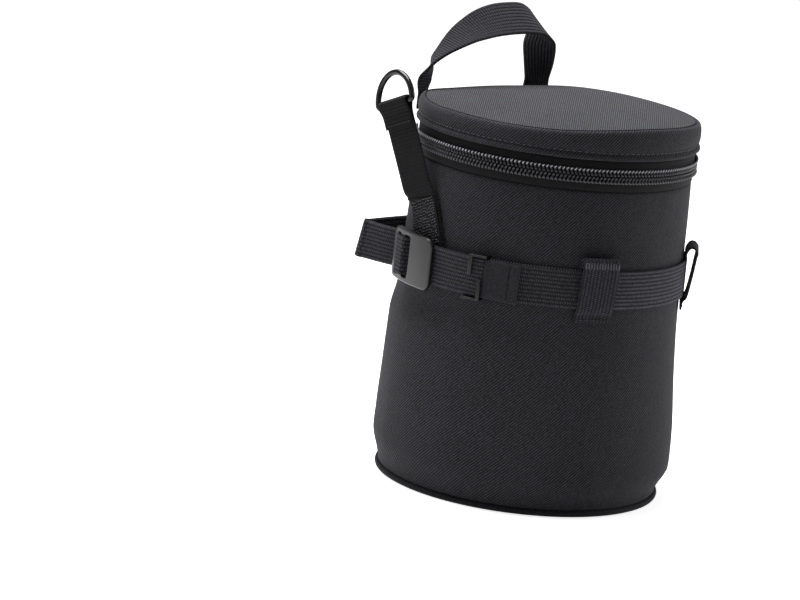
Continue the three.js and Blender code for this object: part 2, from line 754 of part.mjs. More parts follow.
// Belt: one webbing that runs from the lock round the front, the right and the back,
// makes a free loop at the left, and comes back to the lock
const beltBottom = belt.level - webbing.width / 2;
const beltTop = belt.level + webbing.width / 2;
const smooth = (t) => THREE.MathUtils.smoothstep(t, 0, 1);
function beltOffset(phi) {
  const blend = deg(belt.raiseBlend);
  const rise = smooth((phi - deg(belt.raiseStart) + blend) / blend);
  const fall = smooth((deg(belt.raiseEnd) + blend - phi) / blend);
  return belt.clearance + belt.raise * rise * fall;
}
const beltInner = (phi, z) => bodyRadius(z) + beltOffset(phi);
{
  const start = deg(belt.startAngle);
  const root = deg(belt.loopRootAngle) + 2 * Math.PI;
  const rings = [];
  const section = (inner, thickness, phi) => [
    at(inner(beltBottom), phi, beltBottom),
    at(inner(beltBottom) + thickness, phi, beltBottom),
    at(inner(beltTop) + thickness, phi, beltTop),
    at(inner(beltTop), phi, beltTop),
  ];
  const steps = stepsFor(root - start);
  for (let i = 0; i <= steps; i += 1) {
    const phi = lerp(start, root, i / steps);
    rings.push(section((z) => beltInner(phi, z), webbing.thickness, phi));
  }
  // The free loop follows a smooth curve in plan, out to its fold and back to the lock
  const middle = webbing.thickness / 2;
  const bodyAt = (phi) => at(beltInner(phi, belt.level) + middle, phi, 0);
  const rootPoint = bodyAt(root);
  const underLock = (angle) => at(lockSeat + middle, deg(angle), 0);
  const endPoint = underLock(belt.endAngle);
  const enterPoint = underLock(belt.enterAngle);
  const tip = (side) => at(belt.loopTipRadius, deg(belt.loopTipAngle), 0)
    .addScaledVector(along(deg(belt.loopTipAngle)), side * belt.loopTipHalf);
  const curve = new THREE.CatmullRomCurve3([
    bodyAt(root - deg(belt.raiseBlend)),
    rootPoint,
    rootPoint.clone().lerp(tip(-1), belt.loopSideShare),
    tip(-1).addScaledVector(outward(deg(belt.loopTipAngle)), -belt.loopTipHalf),
    at(belt.loopTipRadius + belt.loopTipHalf / 2, deg(belt.loopTipAngle), 0),
    tip(1).addScaledVector(outward(deg(belt.loopTipAngle)), -belt.loopTipHalf),
    enterPoint.clone().lerp(tip(1), belt.loopSideShare),
    enterPoint,
    endPoint,
  ], false, 'centripetal');
  const loopSteps = belt.loopSteps;
  for (let i = 1; i <= loopSteps; i += 1) {
    const t = lerp(belt.loopStartShare, 1, i / loopSteps);
    const p = curve.getPoint(t);
    const run = curve.getTangent(t);
    const side = new THREE.Vector3().crossVectors(run, up).normalize();
    rings.push([[-middle, beltBottom], [middle, beltBottom], [middle, beltTop], [-middle, beltTop]]
      .map(([off, z]) => p.clone().addScaledVector(side, off).setZ(z)));
  }
  const t = webbing.thickness;
  const outline = [[0, beltBottom], [t, beltBottom], [t, beltTop], [0, beltTop]];
  addMesh('belt_webbing', loft(rings, outlineOf(outline)), finishes.webbing);
}

// Keepers sewn to the body above and below the belt, which runs through them
keeper.angles.forEach((angle, i) => {
  const line = keeper.line.map(([rise, lift]) => {
    const z = belt.level + rise;
    return new THREE.Vector2(bodyRadius(z) + lift, z);
  });
  const sides = line.map((p, k) => {
    const run = line[Math.min(k + 1, line.length - 1)].clone().sub(line[Math.max(k - 1, 0)]).normalize();
    const off = keeper.thickness / 2;
    return [[p.x - run.y * off, p.y + run.x * off], [p.x + run.y * off, p.y - run.x * off]];
  });
  const half = keeper.width / 2 / bodyRadius(belt.level);
  const section = [...sides.map(([inner]) => inner), ...sides.map(([, outer]) => outer).reverse()];
  const name = ['belt_keeper_front', 'belt_keeper_right', 'belt_keeper_back'][i];
  addMesh(name, swept(() => section, deg(angle) - half, deg(angle) + half, 3), finishes.webbing);
});

// A flat block in the frame of a wrapped piece, between two corners
function block(x0, x1, y0, y1, z0, z1) {
  return new THREE.BoxGeometry(x1 - x0, y1 - y0, z1 - z0)
    .translate((x0 + x1) / 2, (y0 + y1) / 2, (z0 + z1) / 2);
}

// Ladder lock: a wide thumb plate, and two slots with a bar between them
const lockAngle = deg(lock.angle);
const plateStart = lock.length / 2 - lock.plateLength;
const barEnd = plateStart - lock.slotNear;
const barStart = barEnd - lock.bar;
{
  const shape = roundedRect(lock.length, lock.height, lock.cornerRadius);
  for (const [from, to] of [[barEnd, plateStart], [barStart - lock.slotFar, barStart]]) {
    const middle = (from + to) / 2;
    shape.holes.push(roundedRect(to - from, lock.slotHeight, lock.slotRadius, new THREE.Path(), middle));
  }
  const bevel = lock.thickness * lock.bevelShare;
  const plate = new THREE.ExtrudeGeometry(shape, {
    depth: lock.thickness - bevel,
    bevelThickness: bevel,
    bevelSize: bevel,
    bevelOffset: -bevel,
    bevelSegments: 1,
    curveSegments: 3,
  });
  const solid = fromSolid(toSolid(plate).subtract(toSolid(block(
    -lock.length, lock.length, -lock.height, lock.height, -lock.thickness, 0,
  ))));
  addMesh('ladder_lock', wrapped(solid, lockUnder, lockAngle, belt.level), finishes.plate);

  // Webbing over the bar, down through both slots
  const half = webbing.thickness / 2;
  const low = lockSeat + half - lockUnder;
  const high = lock.thickness + touchGap + half;
  const off = half + touchGap;
  const corner = off * lock.cornerShare;
  const bend = (x, side) => [
    new THREE.Vector3(x + side * off, lock.thickness / 2, 0),
    new THREE.Vector3(x + side * corner, lock.thickness + corner, 0),
    new THREE.Vector3(x - side * off, high, 0),
  ];
  const curve = new THREE.CatmullRomCurve3([
    new THREE.Vector3(barStart - lock.slotFar, low, 0),
    ...bend(barStart, -1),
    ...bend(barEnd, 1).reverse(),
    new THREE.Vector3(barEnd + lock.slotNear - touchGap, low, 0),
  ], false, 'centripetal');
  const rings = [];
  for (let i = 0; i <= lock.wrapSteps; i += 1) {
    const p = curve.getPoint(i / lock.wrapSteps);
    const run = curve.getTangent(i / lock.wrapSteps);
    const corners = [[-half, -1], [half, -1], [half, 1], [-half, 1]];
    rings.push(corners.map(([shift, side]) => {
      const x = p.x - run.y * shift;
      const r = lockUnder + p.y + run.x * shift;
      return at(r, lockAngle + x / lockUnder, belt.level + side * webbing.width / 2);
    }));
  }
  const outline = outlineOf([[-half, -half], [half, -half], [half, half], [-half, half]]);
  addMesh('lock_webbing', loft(rings, outline), finishes.webbing);
}

// Tail: the free end of the belt, which lies on it from the lock to its folded hem
{
  const from = lockAngle + (plateStart + touchGap) / lockUnder;
  const to = deg(tail.endAngle);
  const section = (phi) => {
    const inner = (z) => beltInner(phi, z) + layerStep;
    return [
      [inner(beltBottom), beltBottom],
      [inner(beltBottom) + tail.thickness, beltBottom],
      [inner(beltTop) + tail.thickness, beltTop],
      [inner(beltTop), beltTop],
    ];
  };
  addMesh('belt_tail', swept(section, from, to, stepsFor(to - from)), finishes.webbing);
}

// Clip: a flat ring, split in front. Its back lies behind the belt, and its two arms come over the
// edges of belt and tail and end beside each other, so that the webbing slips in between them
{
  const shell = bodyRadius(belt.level);
  const face = belt.clearance + belt.raise + 2 * layerStep - touchGap + clip.clearance;
  const front = face + clip.thickness;
  const edge = webbing.width / 2 + clip.clearance;
  const crest = edge + clip.edge;
  const under = bodyRadius(beltBottom) - shell + runGap;
  const arm = (side) => {
    const middle = -side * clip.barShift;
    const [x0, x1] = [middle - clip.bar / 2, middle + clip.bar / 2];
    const reach = x0 + (side > 0 ? clip.flagLength : clip.bar);
    const end = x1 - (side > 0 ? clip.bar : clip.flagLength);
    const bar = [side * clip.split / 2, side * crest].sort((a, b) => a - b);
    const rim = [side * edge, side * crest].sort((a, b) => a - b);
    return [
      block(x0, x1, bar[0], bar[1], face, front),
      block(end, reach, rim[0], rim[1], under, front),
    ];
  };
  const backHalf = clip.barShift + clip.bar / 2;
  const back = block(-backHalf, backHalf, -crest, crest, under, under + clip.back);
  const solid = join(back, ...arm(1), ...arm(-1));
  addMesh('web_clip', wrapped(solid, shell, deg(clip.angle), belt.level), finishes.plastic);
}

// Ring strap: its flat root on the body, the fastener patch, the free strap and its ring
const strapAngle = deg(strap.angle);
const strapFold = at(strap.foldRadius, strapAngle, strap.foldHeight);
const strapLevel = along(deg(strap.faceAngle));
const strapOut = outward(deg(strap.faceAngle)).applyAxisAngle(strapLevel, deg(strap.lean));
const strapAcross = strapLevel.clone().applyAxisAngle(strapOut, deg(strap.slant));
const strapUp = new THREE.Vector3().crossVectors(strapOut, strapAcross);
{
  const slope = deg(strap.slant);
  const across = strap.widthShares;
  const both = (near, far) => [...across.map(near), ...[...across].reverse().map(far)];
  // A slice of the root or patch at a length below the fold. It leaves the body as it nears the fold
  const slice = (width, low, high) => (drop) => {
    const turn = smooth(1 - drop / strap.liftLength);
    const level = strap.foldHeight - drop * Math.cos(slope);
    const angle = strapAngle + drop * Math.sin(slope) / bodyRadius(level);
    const point = (depth) => (share) => {
      const off = share * width / 2;
      const z = level + off * Math.sin(slope);
      const seat = bodyRadius(z) + touchGap;
      const flat = at(seat + depth, angle + off * Math.cos(slope) / seat, z);
      const folded = strapFold.clone()
        .addScaledVector(strapAcross, off)
        .addScaledVector(strapUp, -drop)
        .addScaledVector(strapOut, depth - strap.baseThickness / 2);
      return flat.lerp(folded, turn);
    };
    return both(point(low), point(high));
  };
  const lofted = (width, low, high, stops) => {
    const outline = both((share) => [share * width / 2, low], (share) => [share * width / 2, high]);
    return loft(stops.map(slice(width, low, high)), outlineOf(outline));
  };
  // Both are cut at the same lengths, so that their facets run side by side
  const patchEnd = strap.patchStart + strap.patchLength;
  const patchStops = Array.from({ length: strap.patchSpans + 1 }, (_, i) =>
    lerp(patchEnd, strap.patchStart, i / strap.patchSpans));
  const top = strap.thickness / 2 + touchGap;
  const rootStops = [strap.baseLength, lerp(strap.baseLength, patchEnd, 1 / 2), ...patchStops, top];
  addMesh('ring_strap_root', lofted(strap.width, 0, strap.baseThickness, rootStops), finishes.webbing);

  const seat = strap.baseThickness + 2 * touchGap;
  const patch = lofted(strap.patchWidth, seat, seat + strap.patchThickness, patchStops);
  addMesh('hook_patch', patch, finishes.hook);
}

// The free strap, folded over at its top into a loop that holds the ring's bar
{
  const half = strap.thickness / 2;
  const outerRadius = strap.loopBore + strap.loopWall;
  const shift = strap.loopShift;
  const meet = Math.sqrt(outerRadius ** 2 - (shift + half) ** 2);
  const secondTop = half + strap.secondLayer;
  const meetSecond = Math.sqrt(outerRadius ** 2 - (secondTop - shift) ** 2);
  const shape = new THREE.Shape();
  shape.absarc(0, 0, half, Math.PI / 2, Math.PI * 1.5, false);
  shape.lineTo(strap.length - meet, -half);
  const from = Math.atan2(-half - shift, -meet);
  const to = Math.atan2(secondTop - shift, -meetSecond);
  shape.absarc(strap.length, shift, outerRadius, from, to, false);
  shape.lineTo(strap.length - strap.doubled, secondTop);
  shape.lineTo(strap.length - strap.doubled, half);
  shape.holes.push(new THREE.Path().absarc(strap.length, shift, strap.loopBore, 0, 2 * Math.PI, true));
  const solid = extruded(shape, strap.width, 5).translate(0, 0, -strap.width / 2);
  const mesh = addMesh('ring_strap', solid, finishes.webbing);
  mesh.position.copy(strapFold);
  mesh.quaternion.setFromRotationMatrix(new THREE.Matrix4().makeBasis(strapUp, strapOut, strapAcross));
}

// D-ring: one closed wire with a straight bar, two tight corners and an arch
const ringMiddle = strapFold.clone()
  .addScaledVector(strapUp, strap.length)
  .addScaledVector(strapOut, strap.loopShift);
{
  const barHalf = strap.width / 2 + ring.endClearance;
  const side = barHalf + ring.cornerRadius;
  const path = new THREE.Path();
  path.moveTo(-barHalf, 0);
  path.lineTo(barHalf, 0);
  path.absarc(barHalf, ring.cornerRadius, ring.cornerRadius, -Math.PI / 2, 0, false);
  path.absellipse(0, ring.cornerRadius, side, ring.height - ring.cornerRadius, 0, Math.PI, false, 0);
  path.absarc(-barHalf, ring.cornerRadius, ring.cornerRadius, Math.PI, Math.PI * 1.5, false);
  const wire = ring.wire / 2;
  const points = path.getSpacedPoints(ring.steps).slice(0, ring.steps);
  const rings = points.map((p, i) => {
    const before = points[(i + ring.steps - 1) % ring.steps];
    const after = points[(i + 1) % ring.steps];
    const run = after.clone().sub(before).normalize();
    return Array.from({ length: ring.sides }, (_, k) => {
      const turn = 2 * Math.PI * k / ring.sides;
      const out = wire * Math.cos(turn);
      return new THREE.Vector3(p.x + run.y * out, p.y - run.x * out, wire * Math.sin(turn));
    });
  });
  const mesh = addMesh('d_ring', loft(rings, rings[0], true), finishes.metal);
  const ringUp = strapUp.clone().applyAxisAngle(strapAcross, -deg(ring.tilt));
  const ringOut = strapOut.clone().applyAxisAngle(strapAcross, -deg(ring.tilt));
  mesh.position.copy(ringMiddle);
  mesh.quaternion.setFromRotationMatrix(new THREE.Matrix4().makeBasis(strapAcross, ringUp, ringOut));
}

// Handle: two ends sewn to the band of the lid, and an arch of webbing that swings on them
const handlePivot = (side) => at(handle.pivotRadius, side * deg(handle.angle), handle.pivotHeight);
for (const [name, side] of [['handle_end_left', -1], ['handle_end_right', 1]]) {
  const half = handle.endWidth / 2;
  const angle = side * deg(handle.angle);
  const seat = lid.bandRadius + touchGap;
  const top = handlePivot(side).setZ(handle.pivotHeight - handle.thickness / 2 - touchGap);
  const slice = (z, turn) => {
    const point = (depth) => (share) => {
      const flat = at(seat + depth, angle + share * half / seat, z);
      const folded = new THREE.Vector3(-share * half, depth - handle.thickness / 2, 0).add(top).setZ(z);
      return flat.lerp(folded, turn);
    };
    return [...[-1, 0, 1].map(point(0)), ...[1, 0, -1].map(point(handle.thickness))];
  };
  const rings = [
    slice(handle.endBottom, 0),
    slice(handle.flatTop, 0),
    slice(lerp(handle.flatTop, top.z, 1 / 2), 1 / 2),
    slice(top.z, 1),
  ];
  const t = handle.thickness;
  const outline = outlineOf([[-half, 0], [0, 0], [half, 0], [half, t], [0, t], [-half, t]]);
  addMesh(name, loft(rings, outline), finishes.webbing);
}
{
  const pivot = handlePivot(1);
  const lean = deg(handle.lean);
  const rise = new THREE.Vector3(0, -Math.sin(lean), Math.cos(lean));
  const spots = handle.arch.map(([x, z]) =>
    new THREE.Vector3(x * pivot.x, 0, 0).addScaledVector(rise, z * handle.rise));
  const sides = handle.arch.map(([, , x, y, z]) => new THREE.Vector3(x, y, z));
  const widths = handle.arch.map(([, , , , , width]) => new THREE.Vector3(width, 0, 0));
  const curves = [spots, sides, widths].map((points) => new THREE.CatmullRomCurve3(points));
  const [arch, crossing, widening] = curves;
  const rings = [];
  const half = handle.thickness / 2;
  const slice = (p, across, normal, width, thick) => [[-1, -1], [1, -1], [1, 1], [-1, 1]]
    .map(([a, b]) => p.clone().addScaledVector(across, a * width / 2).addScaledVector(normal, b * thick));
  const xAxis = new THREE.Vector3(1, 0, 0);
  const frameAt = (share) => {
    const p = arch.getPoint(share);
    const run = arch.getTangent(share);
    const across = crossing.getPoint(share);
    across.addScaledVector(run, -across.dot(run)).normalize();
    const normal = new THREE.Vector3().crossVectors(run, across);
    return { p, across, normal, width: widening.getPoint(share).x };
  };
  for (let i = 0; i <= handle.steps; i += 1) {
    const f = frameAt(i / handle.steps);
    if (i === 0 || i === handle.steps) {
      // A rounded end, about the axis on which the arch swings
      const level = xAxis.clone().multiplyScalar(i ? -1 : 1);
      const ends = handle.roundShares.map(([drop, thick]) => {
        const p = f.p.clone().addScaledVector(rise, -drop * half);
        return slice(p, level, f.normal, f.width, thick * half);
      });
      rings.push(...(i ? ends.reverse() : ends));
    } else {
      rings.push(slice(f.p, f.across, f.normal, f.width, half));
    }
  }
  const outline = outlineOf([[-half, -half], [half, -half], [half, half], [-half, half]]);
  const mesh = addMesh('carry_handle', loft(rings, outline), finishes.webbing);
  mesh.position.set(0, pivot.y, pivot.z);
}

export default model;
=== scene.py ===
# %% [markdown]
# # A padded pouch for a camera lens
#
# The pouch is a foam-filled tube of black pack cloth with a zipped, hinged lid. A belt of webbing
# goes round it, through a ladder lock and three keepers, and a strap with a D-ring leaves its side.
# The CAD model gives every piece its place. This script gives each one its cloth, thread or plastic.

# %% Load the frame
import json
import math

import bmesh
import bpy
import numpy as np
from mathutils import Matrix, Vector
from mathutils.noise import noise

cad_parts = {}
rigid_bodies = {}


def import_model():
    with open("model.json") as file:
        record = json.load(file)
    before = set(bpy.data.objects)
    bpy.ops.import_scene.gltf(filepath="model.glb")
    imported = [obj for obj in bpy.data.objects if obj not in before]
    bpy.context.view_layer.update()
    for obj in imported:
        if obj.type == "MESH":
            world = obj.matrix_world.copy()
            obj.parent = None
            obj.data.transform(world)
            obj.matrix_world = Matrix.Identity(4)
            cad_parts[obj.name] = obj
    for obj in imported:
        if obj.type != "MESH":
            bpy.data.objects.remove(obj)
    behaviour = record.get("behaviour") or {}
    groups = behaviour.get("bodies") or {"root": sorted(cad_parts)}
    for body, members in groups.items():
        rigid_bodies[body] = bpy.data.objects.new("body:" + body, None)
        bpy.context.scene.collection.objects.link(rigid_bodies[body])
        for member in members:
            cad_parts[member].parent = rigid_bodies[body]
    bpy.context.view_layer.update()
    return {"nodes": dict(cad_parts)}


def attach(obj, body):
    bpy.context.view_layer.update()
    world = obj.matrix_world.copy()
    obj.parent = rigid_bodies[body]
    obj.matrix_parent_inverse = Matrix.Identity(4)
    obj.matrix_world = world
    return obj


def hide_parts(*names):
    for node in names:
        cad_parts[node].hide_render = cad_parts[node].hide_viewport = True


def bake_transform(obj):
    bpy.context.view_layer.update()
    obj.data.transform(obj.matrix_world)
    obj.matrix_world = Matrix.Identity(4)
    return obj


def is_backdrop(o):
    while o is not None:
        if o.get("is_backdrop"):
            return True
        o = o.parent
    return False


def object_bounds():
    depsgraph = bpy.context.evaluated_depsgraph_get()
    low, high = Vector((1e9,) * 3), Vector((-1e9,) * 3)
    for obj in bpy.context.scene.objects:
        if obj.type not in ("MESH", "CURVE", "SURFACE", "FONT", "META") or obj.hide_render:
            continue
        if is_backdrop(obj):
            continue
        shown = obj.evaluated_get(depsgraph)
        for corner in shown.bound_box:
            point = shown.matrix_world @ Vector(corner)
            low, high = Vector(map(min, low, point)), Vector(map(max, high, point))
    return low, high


for thing in list(bpy.data.objects):
    bpy.data.objects.remove(thing)
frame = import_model()
print("nodes in the frame:", len(frame["nodes"]))

# %% [markdown]
# ## Sizes and directions
#
# The pouch is round, so most places on it are a turn about its axis and a height. A turn is counted
# from the front, -Y, towards +X, in degrees. Lengths are written in millimetres, as they would be on
# a sewing pattern, and one factor turns them into metres at the end.

# %% Sizes and directions
# One millimetre in metres
MM = 0.001
UP = Vector((0, 0, 1))
# Radius and height of the wall at its foot, at its widest and at its top edge
FOOT, WIDE, TOP = (74.0, 3.7), (76.2, 22.0), (72.5, 171.0)
TAPER = (WIDE[0] - TOP[0]) / (TOP[1] - WIDE[1])
BELT_LEVEL, BELT_WIDTH, BELT_THICK = 120.5, 20.0, 1.5
# The middle of the zip and the turn where its tapes end, then the seam round the lid's crown
ZIP_LEVEL, ZIP_END = 179.3, 138.0
SEAM_LEVEL, SEAM_RADIUS, CROWN = 199.8, 71.8, 6.0


def outward(turn):
    """The direction from the axis to the wall at a turn."""
    return Vector((math.sin(math.radians(turn)), -math.cos(math.radians(turn)), 0))


def around(turn):
    """The direction along the wall there, level and towards larger turns."""
    return Vector((math.cos(math.radians(turn)), math.sin(math.radians(turn)), 0))


def body_radius(height):
    """Outer radius of the cloth wall, in millimetres."""
    if height < WIDE[1]:
        rise = max(0, (height - FOOT[1]) / (WIDE[1] - FOOT[1]))
        return FOOT[0] + (WIDE[0] - FOOT[0]) * math.sin(rise * math.pi / 2)
    return WIDE[0] - TAPER * (height - WIDE[1])


def blend_in(value, start, end):
    """0 before start, 1 after end, and a smooth change between them."""
    share = min(1, max(0, (value - start) / (end - start)))
    return share * share * (3 - 2 * share)


def hump(value, middle, half):
    """1 in the middle, and less on both sides of it."""
    return math.exp(-(((value - middle) / half) ** 2))


print("radius of the wall at the belt, mm:", round(body_radius(BELT_LEVEL), 2))

# %% [markdown]
# ## Camera
#
# The photograph looks down on the pouch from 12 degrees, a long way off, with the camera rolled by 7
# degrees, so that the pouch seems to lean. The camera could be aimed by angles. It is built from its
# three directions instead, because they were measured from the photograph together.

# %% Camera
scene = bpy.context.scene
CAMERA_RIGHT = (0.75601, -0.64471, 0.11313)
CAMERA_UP = (0.05664, 0.23662, 0.96995)
CAMERA_BACK = (-0.6521, -0.72688, 0.21541)
CAMERA_PLACE = Vector((-1358.4, -1406.66, 519.58)) * MM
FOCAL_PIXELS, IMAGE_WIDTH, SENSOR = 3791.3, 800, 36.0
FAR_CLIP = 20

camera = bpy.data.objects.new("camera", bpy.data.cameras.new("camera"))
scene.collection.objects.link(camera)
turn = Matrix((CAMERA_RIGHT, CAMERA_UP, CAMERA_BACK)).transposed().to_4x4()
camera.matrix_world = Matrix.Translation(CAMERA_PLACE) @ turn
camera.data.sensor_width = SENSOR
camera.data.lens = FOCAL_PIXELS * SENSOR / IMAGE_WIDTH
camera.data.clip_end = FAR_CLIP
scene.camera = camera
scene.view_settings.view_transform = "Standard"
print("lens, mm:", round(camera.data.lens, 1))

# %% [markdown]
# ## Colours, nodes and meshes
#
# Colours are written as sRGB hex codes, as a screen shows them, but Blender's sockets hold linear
# values, so one function changes them. The others start a material, add a node and close a mesh.


# %% Colours, nodes and meshes
def linear(code):
    """An sRGB hex colour as the linear values that Blender's sockets hold."""
    parts = [int(code[i : i + 2], 16) / 255 for i in (1, 3, 5)]
    return (*[p / 12.92 if p <= 0.04045 else ((p + 0.055) / 1.055) ** 2.4 for p in parts], 1.0)


def add(tree, kind, inputs=None, **settings):
    """Add a node. Inputs may be values or the sockets that feed them."""
    node = tree.nodes.new("ShaderNode" + kind)
    for key, value in settings.items():
        setattr(node, key, value)
    for key, value in (inputs or {}).items():
        if isinstance(value, bpy.types.NodeSocket):
            tree.links.new(value, node.inputs[key])
        else:
            node.inputs[key].default_value = value
    return node


def start_material(name):
    """An empty material and its node tree."""
    print("material:", name)
    material = bpy.data.materials.new(name)
    material.use_nodes = True
    material.node_tree.nodes.clear()
    return material, material.node_tree


def mesh_of(name, bm):
    """Move a bmesh into a new mesh."""
    mesh = bpy.data.meshes.new(name)
    bm.to_mesh(mesh)
    bm.free()
    return mesh


print("mid grey as linear values:", [round(part, 3) for part in linear("#808080")[:3]])

# %% [markdown]
# ## Floor, sky and lamps
#
# A studio stands a product on white paper, with a wide lamp above and a softer one on each side. The
# paper here glows only for the camera and for reflections, and the sky is dim for all other rays.
# That keeps the background white without washing out the black cloth.

# %% Floor
FLOOR_HALF, FLOOR_GLOW = 6.0, 0.75


def either_ray(tree, first, second):
    """1 for a ray of either kind, and 0 for the others."""
    rays = add(tree, "LightPath").outputs
    pair = {0: rays[f"Is {first} Ray"], 1: rays[f"Is {second} Ray"]}
    return add(tree, "Math", pair, operation="MAXIMUM").outputs[0]


bm = bmesh.new()
bmesh.ops.create_grid(bm, x_segments=1, y_segments=1, size=FLOOR_HALF)
floor = bpy.data.objects.new("floor", mesh_of("floor", bm))
scene.collection.objects.link(floor)
floor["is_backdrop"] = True

# Matt white paper
paper, nodes = start_material("white_paper_floor")
matt = add(nodes, "BsdfDiffuse", {"Color": linear("#e6e6e6")}).outputs[0]
glow = add(nodes, "Emission", {"Color": linear("#ffffff"), "Strength": FLOOR_GLOW}).outputs[0]
both = add(nodes, "AddShader", {0: matt, 1: glow}).outputs[0]
mix = add(nodes, "MixShader", {0: either_ray(nodes, "Camera", "Glossy"), 1: matt, 2: both})
add(nodes, "OutputMaterial", {"Surface": mix.outputs[0]})
floor.data.materials.append(paper)
print("floor, metres across:", 2 * FLOOR_HALF)

# %% Sky and lamps
SKY_DIM = 0.25
world = bpy.data.worlds.new("studio")
scene.world = world
world.use_nodes = True
nodes = world.node_tree
nodes.nodes.clear()
seen = either_ray(nodes, "Camera", "Transmission")
level = add(nodes, "MapRange", {"Value": seen, "To Min": SKY_DIM, "To Max": 1.0}).outputs[0]
sky = add(nodes, "Background", {"Color": linear("#ffffff"), "Strength": level})
add(nodes, "OutputWorld", {"Surface": sky.outputs[0]})

# Place and size in metres, and power in watts
LAMPS = {
    "lamp_above": ((-0.1, 0.35, 1.15), 0.8, 24.0),
    "lamp_left": ((-1.5, 0.4, 0.55), 0.6, 1.6),
    "lamp_right": ((1.4, -0.5, 0.5), 0.7, 9.0),
}
# All lamps point at the middle of the pouch
AIM = Vector((0, 0, 0.12))
for name, (place, size, power) in LAMPS.items():
    lamp = bpy.data.objects.new(name, bpy.data.lights.new(name, "AREA"))
    lamp.data.size = size
    lamp.data.energy = power
    lamp.location = place
    lamp.rotation_mode = "QUATERNION"
    lamp.rotation_quaternion = (AIM - lamp.location).to_track_quat("-Z", "Y")
    scene.collection.objects.link(lamp)
print("lamps:", *LAMPS)


# %% [markdown]
# ## Finishes
#
# Almost all of the pouch is polyester, in different weaves. A weave is drawn twice: as height, which a
# Bump node turns to shading, and as colour, because less light comes back from between the threads.
# On the round wall the pattern needs a distance round the pouch, which is the turn times a radius. The
# radius is chosen so that a whole number of threads goes round, and the pattern meets itself at the back.

# %% Weaves
# The radius that turns are measured on, for patterns that go round the pouch
ROUND_RADIUS = 75 * MM
# Where the hand has worn the handle, from its left end
WORN_START, WORN_END = 58 * MM, 90 * MM
# Noises per metre: one that lifts single yarns, and one that tints patches of 36 mm
YARN_SCALE, PATCH_SCALE = 700.0, 28.0


def calc(tree, operation, first, second=0.0, third=0.0):
    """A Math node, as the socket of its result."""
    return add(tree, "Math", {0: first, 1: second, 2: third}, operation=operation).outputs[0]


def surface_metres(tree, layout, pitch):
    """Two sockets that measure metres along the cloth: one along it, and one across it."""
    if layout == "strip":
        split = add(tree, "SeparateXYZ", {0: add(tree, "UVMap", uv_map="weave").outputs[0]})
        return split.outputs[0], split.outputs[1]
    split = add(tree, "SeparateXYZ", {0: add(tree, "TexCoord").outputs["Object"]})
    if layout == "flat":
        return split.outputs[0], split.outputs[1]
    forward = calc(tree, "MULTIPLY", split.outputs[1], -1.0)
    turn = calc(tree, "ARCTAN2", split.outputs[0], forward)
    threads = round(2 * math.pi * ROUND_RADIUS / pitch)
    return calc(tree, "MULTIPLY", turn, threads * pitch / (2 * math.pi)), split.outputs[2]


def ridges(tree, place, pitch, sharpness=1.0):
    """Rounded ridges from 0 to 1, one for each pitch."""
    wave = calc(tree, "SINE", calc(tree, "MULTIPLY", place, math.pi / pitch))
    return calc(tree, "POWER", calc(tree, "ABSOLUTE", wave), sharpness)


def product(tree, first, second, share):
    """First, lowered where second is low: share says how far."""
    return calc(tree, "MULTIPLY", first, calc(tree, "MULTIPLY_ADD", second, share, 1 - share))


def weave_height(tree, weave, u, v, pitch_u, pitch_v):
    """How high the threads stand, from 0 to 1."""
    if weave == "twill":
        slope = calc(tree, "MULTIPLY", v, pitch_u / pitch_v)
        rib = ridges(tree, calc(tree, "SUBTRACT", u, slope), pitch_u, 1.8)
        step = calc(tree, "MULTIPLY_ADD", v, 1.0, calc(tree, "MULTIPLY", u, 0.5))
        return product(tree, rib, ridges(tree, step, pitch_v / 1.6, 0.8), 0.55)
    if weave == "waffle":
        row = calc(tree, "FLOOR", calc(tree, "DIVIDE", v, pitch_v))
        odd = calc(tree, "MULTIPLY", calc(tree, "PINGPONG", row, 1.0), pitch_u / 2)
        cell = ridges(tree, calc(tree, "ADD", u, odd), pitch_u)
        return product(tree, ridges(tree, v, pitch_v), cell, 0.8)
    cords = ridges(tree, v, pitch_v)
    if weave == "handle":
        # The ribs across stand out on the left part, and the cords along it on the worn part
        ribs = ridges(tree, u, pitch_u, 1.2)
        ends = {"Value": u, "From Min": WORN_START, "From Max": WORN_END}
        worn = add(tree, "MapRange", ends).outputs[0]
        faces = {2: product(tree, ribs, cords, 0.35), 3: product(tree, cords, ribs, 0.3)}
        return add(tree, "Mix", {0: worn, **faces}).outputs[0]
    if weave == "ribbed":
        return product(tree, cords, ridges(tree, u, pitch_u, 0.8), 0.45)
    return product(tree, ridges(tree, u, pitch_u), cords, 0.25)


def close_material(tree, relief, strength, depth, sockets):
    """A Principled shader over a bump, whose depth is in millimetres."""
    bump = add(tree, "Bump", {"Height": relief, "Strength": strength, "Distance": depth * MM})
    shader = add(tree, "BsdfPrincipled", {**sockets, "Normal": bump.outputs[0]})
    add(tree, "OutputMaterial", {"Surface": shader.outputs[0]})


